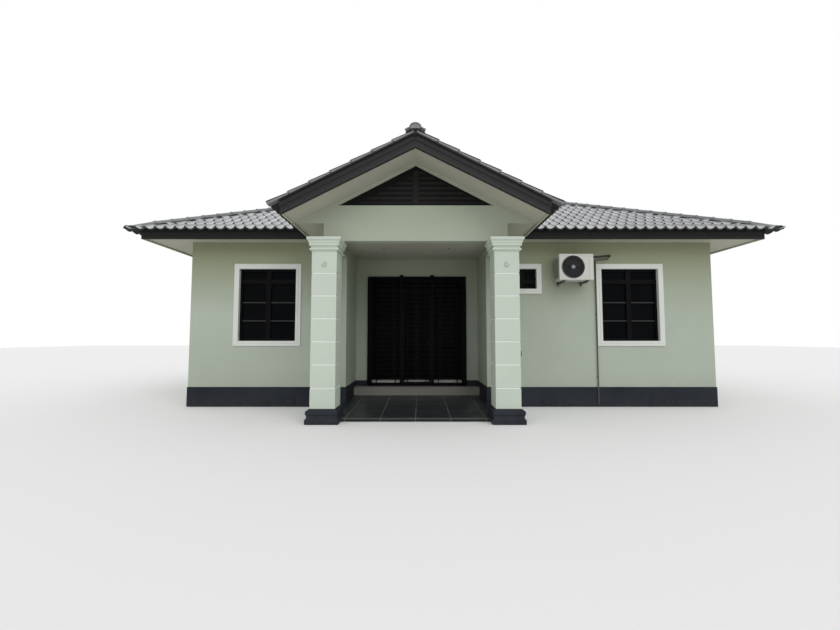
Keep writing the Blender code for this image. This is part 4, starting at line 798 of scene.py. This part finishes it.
def make_verge_tiles():
    """Edge tiles up both sides of the gable, each lapping the one below."""
    length = (PORCH_HALF + OVERHANG) / RUN
    front, back = VERGE_TILE_Y - 0.014, VERGE_TILE_Y + 0.10
    for name, side in (("verge_tiles_left", -1), ("verge_tiles_right", 1)):
        shape = bmesh.new()
        for k in range(math.ceil(length / TILE_EXPOSURE)):
            start = k * TILE_EXPOSURE
            end = min(start + TILE_EXPOSURE + VERGE_LAP, length - 0.01)
            rings = []
            for v, high in ((start, VERGE_BUTT), (end, VERGE_HEAD)):
                section = ((front, VERGE_FOOT), (back, VERGE_FOOT), (back, high + 0.004),
                           (front + 0.02, high + 0.004), (front, high - 0.006))
                rings.append([at(PORCH_X + side * (PORCH_HALF + OVERHANG - v * RUN + n * RISE), y,
                                 EAVE_Z + v * RISE + n * RUN) for y, n in section])
            add_rings(shape, rings)
        piece(name, shape, "cap", "roof_tile", bevel=0.003)


def barge_rings(low, high, front, back):
    """A strip up both bargeboards, between two depths square to the slope, mitred at the apex."""
    reach = PORCH_HALF - 0.002
    return [[at(PORCH_X + x, y, APEX_Z - abs(x) * SLOPE + depth / RUN)
             for y, depth in ((front, low), (front, high), (back, high), (back, low))]
            for x in (-reach, 0.0, reach)]


def make_board_mouldings():
    """Dark batten under the verge tiles, and a bead along the foot of the bargeboards in paint lighter than
    the board, as a painted highlight.
    """
    batten = barge_rings(0.001, VERGE_FOOT + 0.002, VERGE_TILE_Y - 0.012, VERGE_TILE_Y + 0.08)
    ring_piece("verge_batten", batten, "board", "dark_board")
    bead = barge_rings(0.012 - BARGE_DEPTH, 0.050 - BARGE_DEPTH, BARGE_Y - 0.007, BARGE_Y + 0.002)
    ring_piece("bargeboard_bead", bead, "bead", "dark_board", bevel=0.002)


def make_fascia_linings():
    """Pale paint on the inner faces and undersides of the fascias, as on the soffit beside them."""
    foot, thick = FASCIA_TOP - BARGE_DEPTH, 0.03
    front, back = FASCIA_FRONT_Y + thick, FASCIA_BACK_Y - thick
    boxes = []
    for outer, inward, y0, y1 in ((-FASCIA_X, 1, front, back), (FASCIA_X, -1, front, back),
                                  (PORCH_X - PORCH_HALF, 1, BARGE_Y + thick, front),
                                  (PORCH_X + PORCH_HALF, -1, BARGE_Y + thick, front)):
        inner = outer + inward * thick
        skin = inner + inward * SKIN
        for x, low, high in ((inner, foot, SOFFIT_Z - 0.0005),
                             (outer + inward * 0.003, foot - SKIN, foot - 0.0002)):
            x0, x1 = sorted((x, skin))
            boxes.append(((x0, y0, low), (x1, y1, high)))
    box_piece("fascia_linings", boxes, "soffit", "soffit_board")


# Louvre
LOUVRE_Z, LOUVRE_HALF, LOUVRE_RISE, LOUVRE_FRAME = 3.73, 1.3675, 0.723, 0.045
LOUVRE_PITCH, LOUVRE_FRONT_Y, LOUVRE_MULLION = 0.09, -1.34, 0.09
LOUVRE_UNDER, LOUVRE_OVER = 0.014, 0.026


def make_louvre_edges():
    """Square front edge of each blade, cut to the triangle and to the upright, and the upright's front face,
    in paint lighter than the louvre, as a painted highlight.
    """
    slope = LOUVRE_RISE / LOUVRE_HALF
    apex = LOUVRE_Z + LOUVRE_RISE - LOUVRE_FRAME * math.sqrt(1 + slope * slope)
    foot, half = LOUVRE_Z + LOUVRE_FRAME, LOUVRE_MULLION / 2
    inner = half + 0.001
    shape = bmesh.new()
    z = foot
    while (apex - z - LOUVRE_OVER) / slope > inner + 0.03:
        low, high = z - LOUVRE_UNDER, z + LOUVRE_OVER
        corners = ((inner, low), ((apex - low) / slope, low), ((apex - high) / slope, high),
                   (inner, high))
        for side in (-1, 1):
            add_rings(shape, [[at(PORCH_X + side * x, LOUVRE_FRONT_Y + depth, up) for x, up in corners]
                              for depth in (0.0005, 0.0032)])
        z += LOUVRE_PITCH
    add_box(shape, (PORCH_X - half, LOUVRE_FRONT_Y - 0.001, foot),
            (PORCH_X + half, LOUVRE_FRONT_Y + 0.0005, apex - 0.04))
    piece("louvre_blade_edges", shape, "blade", "dark_board")


# Walls
FACES = {
    "front": lambda along, depth, up: at(along, depth, up),
    "back": lambda along, depth, up: at(along, DEPTH - depth, up),
    "left": lambda along, depth, up: at(depth - HALF_WIDTH, along, up),
    "right": lambda along, depth, up: at(HALF_WIDTH - depth, along, up),
}


def windows():
    """Name, face, centre, width and sill of each window."""
    rows = [("front_left", FACES["front"], FRONT_WINDOWS[0], WIDTH, SILL),
            ("small", FACES["front"], SMALL_WINDOW, SMALL_WIDTH, SMALL_SILL),
            ("front_right", FACES["front"], FRONT_WINDOWS[1], WIDTH, SILL)]
    for side, spots in (("left", SIDE_WINDOWS), ("right", SIDE_WINDOWS), ("back", BACK_WINDOWS)):
        rows += [(f"{side}_{i}", FACES[side], spot, WIDTH, SILL) for i, spot in enumerate(spots, 1)]
    return rows


def make_surrounds():
    """Painted face of each window surround and reveal, with its raised inner part."""
    front, raised = -(PROUD + SKIN), -(PROUD + SKIN + SURROUND_STEP)
    section = [(-SKIN, SETBACK - 0.001), (-SKIN, raised), (SURROUND_INNER, raised),
               (SURROUND_INNER + 0.003, front), (SURROUND + SKIN, front), (SURROUND + SKIN, 0.004)]
    for name, face, centre, width, sill in windows():
        rings = [[face(centre + side * (width / 2 + out), depth, z + way * out) for out, depth in section]
                 for side, z, way in ((-1, sill, -1), (1, sill, -1), (1, HEAD, 1), (-1, HEAD, 1))]
        ring_piece(name + "_window_surround", rings, "trim", "sage_plaster", closed=True)


def make_window_bars():
    """Thin glazing bars in front of the panes."""
    near, far = SETBACK + 0.010, SETBACK + 0.030
    for name, face, centre, width, sill in windows():
        if sill != SILL:
            continue
        shape = bmesh.new()
        for side in (-1, 1):
            spans = sorted((centre + side * MULLION / 2, centre + side * (width / 2 - FRAME_BAR)))
            for z in BAR_HEIGHTS:
                low, high = z - BAR_TALL / 2, z + BAR_TALL / 2
                add_rings(shape, [[face(a, near, low), face(a, far, low), face(a, far, high),
                                   face(a, near, high)] for a in spans])
        piece(name + "_window_bars", shape, "bar", "black_frame", bevel=0.002)


# Columns
COLUMN_X, COLUMN_Y, COLUMN_HALF, COLUMN_BASE = 1.533, -1.39, 0.21, 0.275
COLUMN_TOP, CAPITAL, BLOCK, GROOVES = 3.0997, 0.222, 0.3825, 6
GROOVE_TALL, GROOVE_DEPTH, BASE_TOP = 0.026, 0.011, 0.245
CAPITAL_STEPS = ((0.013, 0.038), (0.013, 0.070), (0.040, 0.082), (0.040, 0.118), (0.052, 0.130),
                 (0.052, 0.156), (0.076, 0.178))
BASE_STEPS = ((0.042, 0.140), (0.056, 0.158), (0.056, 0.210), (0.006, 0.2455), (0.002, 0.2465))
CURL, CURL_Z, CABLE = 0.034, 2.645, 0.006
CURL_STEPS, CURL_TURN, CURL_LEAD = 15, 20, 0.0008
# Inner and outer face, half width, foot and top of the socket's box and of its lid
SOCKET = ((0.0005, 0.022, 0.030, 1.100, 1.190), (0.0225, 0.028, 0.024, 1.108, 1.182))


def round_square(place, profile):
    """Rings round a square from (half width, height) points."""
    return [[at(place[0] + x * half, place[1] + y * half, z) for x, y in SQUARE] for half, z in profile]


def make_columns():
    """Grooved shaft with its capital, moulded base, and the pale paint in the grooves."""
    half, capital = COLUMN_HALF, COLUMN_TOP - CAPITAL
    tall = GROOVE_TALL / 2
    grooves = [capital - i * BLOCK for i in range(GROOVES, 0, -1)]
    shaft = [(half, BASE_TOP)]
    for z in grooves:
        shaft += [(half, z - tall), (half - GROOVE_DEPTH, z - tall + 0.006),
                  (half - GROOVE_DEPTH, z + tall - 0.006), (half, z + tall)]
    shaft += [(half, capital)] + arc(half + 0.017, capital + 0.019, 0.019, 0.019, -90, 90, 8)
    shaft += [(half + out, capital + up) for out, up in CAPITAL_STEPS] + [(half + 0.076, COLUMN_TOP)]
    base = [(COLUMN_BASE, 0.001), (COLUMN_BASE, 0.080)] + arc(0.267, 0.122, 0.015, -0.042, 90, 180)
    base += [(half + out, z) for out, z in BASE_STEPS]
    for name, side in (("left_column", -1), ("right_column", 1)):
        place = (PORCH_X + side * COLUMN_X, COLUMN_Y)
        ring_piece(name + "_shaft", round_square(place, shaft), "column", "column_plaster",
                   bevel=0.003, stands_for=(name,))
        ring_piece(name + "_base", round_square(place, base), "band", "charcoal_paint", bevel=0.003)
        shape = bmesh.new()
        inner, outer = half - GROOVE_DEPTH - 0.001, half - GROOVE_DEPTH + 0.002
        for z in grooves:
            low, high = z - tall + 0.003, z + tall - 0.003
            section = ((inner, low), (outer, low), (outer, high), (inner, high))
            add_rings(shape, round_square(place, section), closed=True)
        piece(name + "_grooves", shape, "groove", "column_plaster")


def make_wiring_points():
    """Short curl of cable left for a lamp on the front of each column."""
    face = COLUMN_Y - COLUMN_HALF
    for name, side in (("wiring_point_left", -1), ("wiring_point_right", 1)):
        x = PORCH_X + side * COLUMN_X
        route = [at(x, face + 0.002, CURL_Z + CURL)]
        for i in range(CURL_STEPS):
            a = math.radians(90 + side * CURL_TURN * i)
            route.append(at(x + CURL * math.cos(a), face - 0.010 - CURL_LEAD * i,
                            CURL_Z + CURL * math.sin(a)))
        rings = []
        for i, point in enumerate(route):
            way = (route[min(i + 1, len(route) - 1)] - route[max(i - 1, 0)]).normalized()
            flat = way.cross(Vector((0, 1, 0)))
            flat = flat.normalized() if flat.length > 0.2 else Vector((1, 0, 0))
            rise = way.cross(flat).normalized()
            rings.append([point + (flat * math.cos(b) + rise * math.sin(b)) * CABLE for b in angles(8)])
        ring_piece(name, rings, "cable", "grey_pipe", smooth=60)


def make_socket():
    """Small weathered socket box on the outer side of the right column."""
    side, y = PORCH_X + COLUMN_X + COLUMN_HALF, COLUMN_Y - 0.14
    boxes = [((side + x0, y - half, low), (side + x1, y + half, high)) for x0, x1, half, low, high in SOCKET]
    box_piece("column_socket_box", boxes, "steel", "painted_steel", bevel=0.003)


# Porch floor
FLOOR_FRONT_Y, FLOOR_BACK_Y, FLOOR_HALF, FLOOR_NARROW = -1.42, 0.95, 1.60, 1.2577
FLOOR_TILE, FLOOR_JOINT, FLOOR_PROUD, NOSING = 0.60, 0.005, 0.003, 0.080
FLOOR_FALL, FLOOR_LOW = 0.05 / 2.37, 0.04
FLOOR_RECESS, FLOOR_GAP, WALL_GAP = 1.4437, 0.003, 0.016


def make_porch_floor():
    """Square tiles a little above their bed, cut round the column feet, with a nosing row."""
    joint = FLOOR_JOINT / 2
    tiles, nosing = bmesh.new(), bmesh.new()
    start = FLOOR_FRONT_Y + NOSING
    spans = [(nosing, FLOOR_FRONT_Y - 0.004, start - joint)]
    spans += [(tiles, start + j * FLOOR_TILE + joint, start + (j + 1) * FLOOR_TILE - joint)
              for j in range(4)]
    for i in range(-3, 3):
        x0, x1 = PORCH_X + i * FLOOR_TILE + joint, PORCH_X + (i + 1) * FLOOR_TILE - joint
        for shape, y0, y1 in spans:
            add_prism(shape, [(x0, y0), (x1, y0), (x1, y1), (x0, y1)], 0.002,
                      lambda x, y: FLOOR_LOW + FLOOR_PROUD + (y - FLOOR_FRONT_Y) * FLOOR_FALL)
    back, wall = COLUMN_Y + COLUMN_BASE + FLOOR_GAP, -WALL_GAP
    narrow, wide = FLOOR_NARROW - FLOOR_GAP, FLOOR_HALF + FLOOR_GAP
    half_outline = [(narrow, FLOOR_FRONT_Y - 0.01), (narrow, back), (wide, back), (wide, wall),
                    (FLOOR_RECESS, wall), (FLOOR_RECESS, FLOOR_BACK_Y - FLOOR_GAP)]
    outline = [(PORCH_X + x, y) for x, y in half_outline]
    outline += [(PORCH_X - x, y) for x, y in reversed(half_outline)]
    for name, shape, paint in (("tiles", tiles, "floor"), ("nosing", nosing, "nosing")):
        made = to_object("porch_floor_" + name, shape)
        keep_inside(made, outline, -0.5, 0.5)
        finish(made, paint, "floor_tile", bevel=0.0015)


# Entrance
GRILLE_FRONT_Y = 1.2097
BAR_WIDE, BAR_DEEP = 0.020, 0.016
SILL_HALF, SILL_LOW, SILL_HIGH = 1.10, 0.345, 0.412


def make_grille_bars():
    """Thin upright bars welded across the slats, some on the frame and one pair on the leaf."""
    wide, deep = BAR_WIDE / 2, BAR_DEEP / 2
    for name, body, offsets, low, high in (
            ("grille_side_bars", "house", (-0.955, -0.51, 0.51, 0.955), 0.325, 2.505),
            ("grille_leaf_bars", "leaf", (-0.218, 0.218), 0.366, 2.464)):
        boxes = [((x - wide, GRILLE_FRONT_Y - deep, low), (x + wide, GRILLE_FRONT_Y + deep, high))
                 for x in (PORCH_X + offset for offset in offsets)]
        box_piece(name, boxes, "black", "black_frame", body=body, bevel=0.002)


def make_door_sill():
    """Pale face of the sliding doors' sill, behind the foot of the grille."""
    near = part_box("door_frame")[0].y - FACE_Y
    box_piece("door_sill_face", [((PORCH_X - SILL_HALF, near - 0.002, SILL_LOW),
                                  (PORCH_X + SILL_HALF, near + 0.0005, SILL_HIGH))],
              "case", "unit_case")


# Cooling unit
FAN_X, FAN_Z, FAN_RADIUS = 2.398, 2.825, 0.215
FAN_RINGS, FAN_RING_PITCH, FAN_SPOKES, FAN_BACK = 11, 0.017, 16, 0.0985
BLADES, BLADE_STEPS, BLADE_ROOT, BLADE_TIP = 3, 8, 0.04, 0.195
BLADE_TURN, BLADE_SWEEP, BLADE_WIDE, BLADE_DEPTH, BLADE_TILT = 0.4, 0.25, 0.62, 0.055, 0.022
UNIT_FRONT_Y, UNIT_BACK_Y, UNIT_LEFT, UNIT_RIGHT = -0.39, -0.12, 2.118, 2.808
UNIT_LOW, UNIT_HIGH = 2.56, 3.09


def fan_ring(radius, depth, count):
    """A circle round the fan's axis, that far behind the unit's front."""
    return [at(FAN_X + radius * math.cos(a), UNIT_FRONT_Y + depth, FAN_Z + radius * math.sin(a))
            for a in angles(count)]


def add_wire_ring(shape, radius, wire, depth):
    add_rings(shape, [fan_ring(radius + wire * math.cos(b), depth + wire * math.sin(b), 48)
                      for b in angles(6)], closed=True)


def make_fan_guard():
    """Wire guard of rings and spokes, and its pale hub disc."""
    shape = bmesh.new()
    for i in range(FAN_RINGS):
        add_wire_ring(shape, FAN_RADIUS - i * FAN_RING_PITCH, 0.0026, -0.009)
    add_wire_ring(shape, FAN_RADIUS + 0.010, 0.005, -0.005)
    centre = at(FAN_X, UNIT_FRONT_Y - 0.005, FAN_Z)
    for a in angles(FAN_SPOKES):
        way, side = Vector((math.cos(a), 0, math.sin(a))), Vector((-math.sin(a), 0, math.cos(a)))
        add_rings(shape, [[centre + way * radius + (side * s + Vector((0, d, 0))) * 0.002
                           for s, d in SQUARE] for radius in (0.035, FAN_RADIUS + 0.008)])
    piece("fan_guard_wires", shape, "steel", "painted_steel", smooth=60,
          stands_for=("ac_fan_guard",))
    hub = ((0.036, -0.004), (0.038, -0.009), (0.035, -0.013), (0.024, -0.015))
    ring_piece("fan_guard_hub", [fan_ring(radius, depth, 32) for radius, depth in hub],
               "hub", "unit_case", smooth=50)


def make_fan():
    """Three swept blades on a hub, in a housing with a back disc, all near-black as painted shade inside the
    unit.
    """
    shape = bmesh.new()
    for turn in angles(BLADES):
        rings = []
        for i in range(BLADE_STEPS + 1):
            share = i / BLADE_STEPS
            radius = BLADE_ROOT + (BLADE_TIP - BLADE_ROOT) * share
            wide = BLADE_WIDE * (0.55 + 0.45 * share)
            ring = []
            for edge, thick in ((-1, 0.0), (0, 0.002), (1, 0.0), (0, -0.002)):
                a = turn + BLADE_TURN + BLADE_SWEEP * share + edge * wide
                y = UNIT_FRONT_Y + BLADE_DEPTH + edge * BLADE_TILT + thick
                ring.append(at(FAN_X + radius * math.cos(a), y, FAN_Z + radius * math.sin(a)))
            rings.append(ring)
        add_rings(shape, rings)
    hub = ((0.045, 0.085), (0.045, 0.035), (0.035, 0.028))
    add_rings(shape, [fan_ring(radius, depth, 24) for radius, depth in hub])
    piece("fan_blades", shape, "hollow", "painted_steel", smooth=50)
    ring_piece("fan_housing_back", [fan_ring(FAN_RADIUS - 0.001, depth, 48)
                                    for depth in (FAN_BACK, FAN_BACK - 0.002)],
               "hollow", "painted_steel")
    outer, inner = FAN_RADIUS - 0.0005, FAN_RADIUS - 0.002
    section = ((outer, 0.001), (outer, 0.096), (inner, 0.096), (inner, 0.001))
    ring_piece("fan_housing_ring", [fan_ring(radius, depth, 48) for radius, depth in section],
               "hollow", "painted_steel", closed=True, smooth=40)


def make_unit_details():
    """Cover seams, and the coil behind its guard on the left side of the outdoor unit."""
    proud, inset = 0.0006, 0.012
    low, high = UNIT_HIGH - 0.046, UNIT_HIGH - 0.043
    front, near, far = UNIT_FRONT_Y, UNIT_FRONT_Y + inset, UNIT_BACK_Y - inset
    box_piece("unit_seams", [
        ((UNIT_LEFT + inset, front - proud, low), (UNIT_RIGHT - inset, front, high)),
        ((UNIT_LEFT - proud, near, low), (UNIT_LEFT, far, high)),
        ((UNIT_RIGHT, near, low), (UNIT_RIGHT + proud, far, high)),
        ((UNIT_RIGHT - 0.092, front - proud, UNIT_LOW + inset), (UNIT_RIGHT - 0.090, front, low)),
    ], "steel", "unit_case")
    near, far, low, high = UNIT_FRONT_Y + 0.045, UNIT_BACK_Y - 0.02, UNIT_LOW + 0.05, UNIT_HIGH - 0.075
    skin = UNIT_LEFT - proud
    box_piece("unit_coil", [((skin, near, low), (UNIT_LEFT, far, high))], "hollow", "painted_steel")
    guard = [((UNIT_LEFT - 0.004, y, low), (skin, y + 0.006, high))
             for y in (near + 0.020 + i * 0.042 for i in range(5))]
    guard += [((UNIT_LEFT - 0.003, near, z), (skin, far, z + 0.005))
              for z in (low + 0.020 + i * 0.045 for i in range(9))]
    box_piece("unit_coil_guard", guard, "case", "unit_case")


# Ceiling lights
LIGHT_X, LIGHT_Y = 0.69, 0.05
LIGHT_RIM = ((0.064, 0.0), (0.064, -0.004), (0.058, -0.007), (0.050, -0.005), (0.050, 0.0))
LIGHT_LENS = ((0.0505, -0.0003), (0.0505, -0.0025))


def make_lights():
    """Recessed ceiling lights: a flat pale rim and a lens in dark paint, as painted shade in the light's
    hollow.
    """
    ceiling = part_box("porch_ceiling")[0].z
    for name, side in (("ceiling_light_left", -1), ("ceiling_light_right", 1)):
        # The lens is painted dark as the shade inside the recess.
        for part, section, paint, closed, smooth in (("rim", LIGHT_RIM, "trim", True, 40),
                                                     ("lens", LIGHT_LENS, "steel", False, None)):
            rings = [level_ring(PORCH_X + side * LIGHT_X, LIGHT_Y, ceiling + z, radius, 40)
                     for radius, z in section]
            ring_piece(f"{name}_{part}", rings, paint, "soffit_board", closed, smooth=smooth)


# Stage
SKY_LIGHT, KEY_LIGHT, STAGE_HALF = 0.80, 0.9, 60.0


def make_world():
    """White surroundings, a little dimmer as light than as seen directly or mirrored."""
    world = bpy.data.worlds.new("studio")
    bpy.context.scene.world = world
    world.use_nodes = True
    tree = world.node_tree
    rays = tree.nodes.new("ShaderNodeLightPath")
    seen = rays.outputs["Is Camera Ray"]
    for kind in ("Is Glossy Ray", "Is Transmission Ray"):
        either = tree.nodes.new("ShaderNodeMath")
        either.operation = "MAXIMUM"
        tree.links.new(seen, either.inputs[0])
        tree.links.new(rays.outputs[kind], either.inputs[1])
        seen = either.outputs[0]
    level = tree.nodes.new("ShaderNodeMapRange")
    level.inputs["To Min"].default_value = SKY_LIGHT
    tree.links.new(seen, level.inputs["Value"])
    background = tree.nodes["Background"]
    background.inputs["Color"].default_value = (1, 1, 1, 1)
    tree.links.new(level.outputs[0], background.inputs["Strength"])


def make_stage():
    """Soft key light from the front left, and a pale floor."""
    light = bpy.data.lights.new("soft_key", "SUN")
    light.energy = KEY_LIGHT
    light.angle = math.radians(50)
    place_data("soft_key", light).rotation_euler = (math.radians(48), 0.0, math.radians(22))
    shape = bmesh.new()
    add_rings(shape, [[Vector((x * STAGE_HALF, y * STAGE_HALF, z)) for x, y in SQUARE]
                      for z in (-0.2, -0.002)])
    ground = to_object("studio_floor", shape)
    pale = Paint("studio_floor", 0.9, 0.1)
    pale.colour((0.86, 0.86, 0.86))
    ground.data.materials.append(pale.made)


make_camera()
bpy.context.scene.view_settings.view_transform = "Standard"
paint_frame()
make_world()
make_stage()
for make in (make_tiles, make_deck, make_hip_caps, make_ridge_caps, make_verge_tiles, make_board_mouldings,
             make_fascia_linings, make_louvre_edges, make_surrounds, make_window_bars, make_columns,
             make_wiring_points, make_socket, make_porch_floor, make_grille_bars, make_door_sill,
             make_fan_guard, make_fan, make_unit_details, make_lights):
    make()
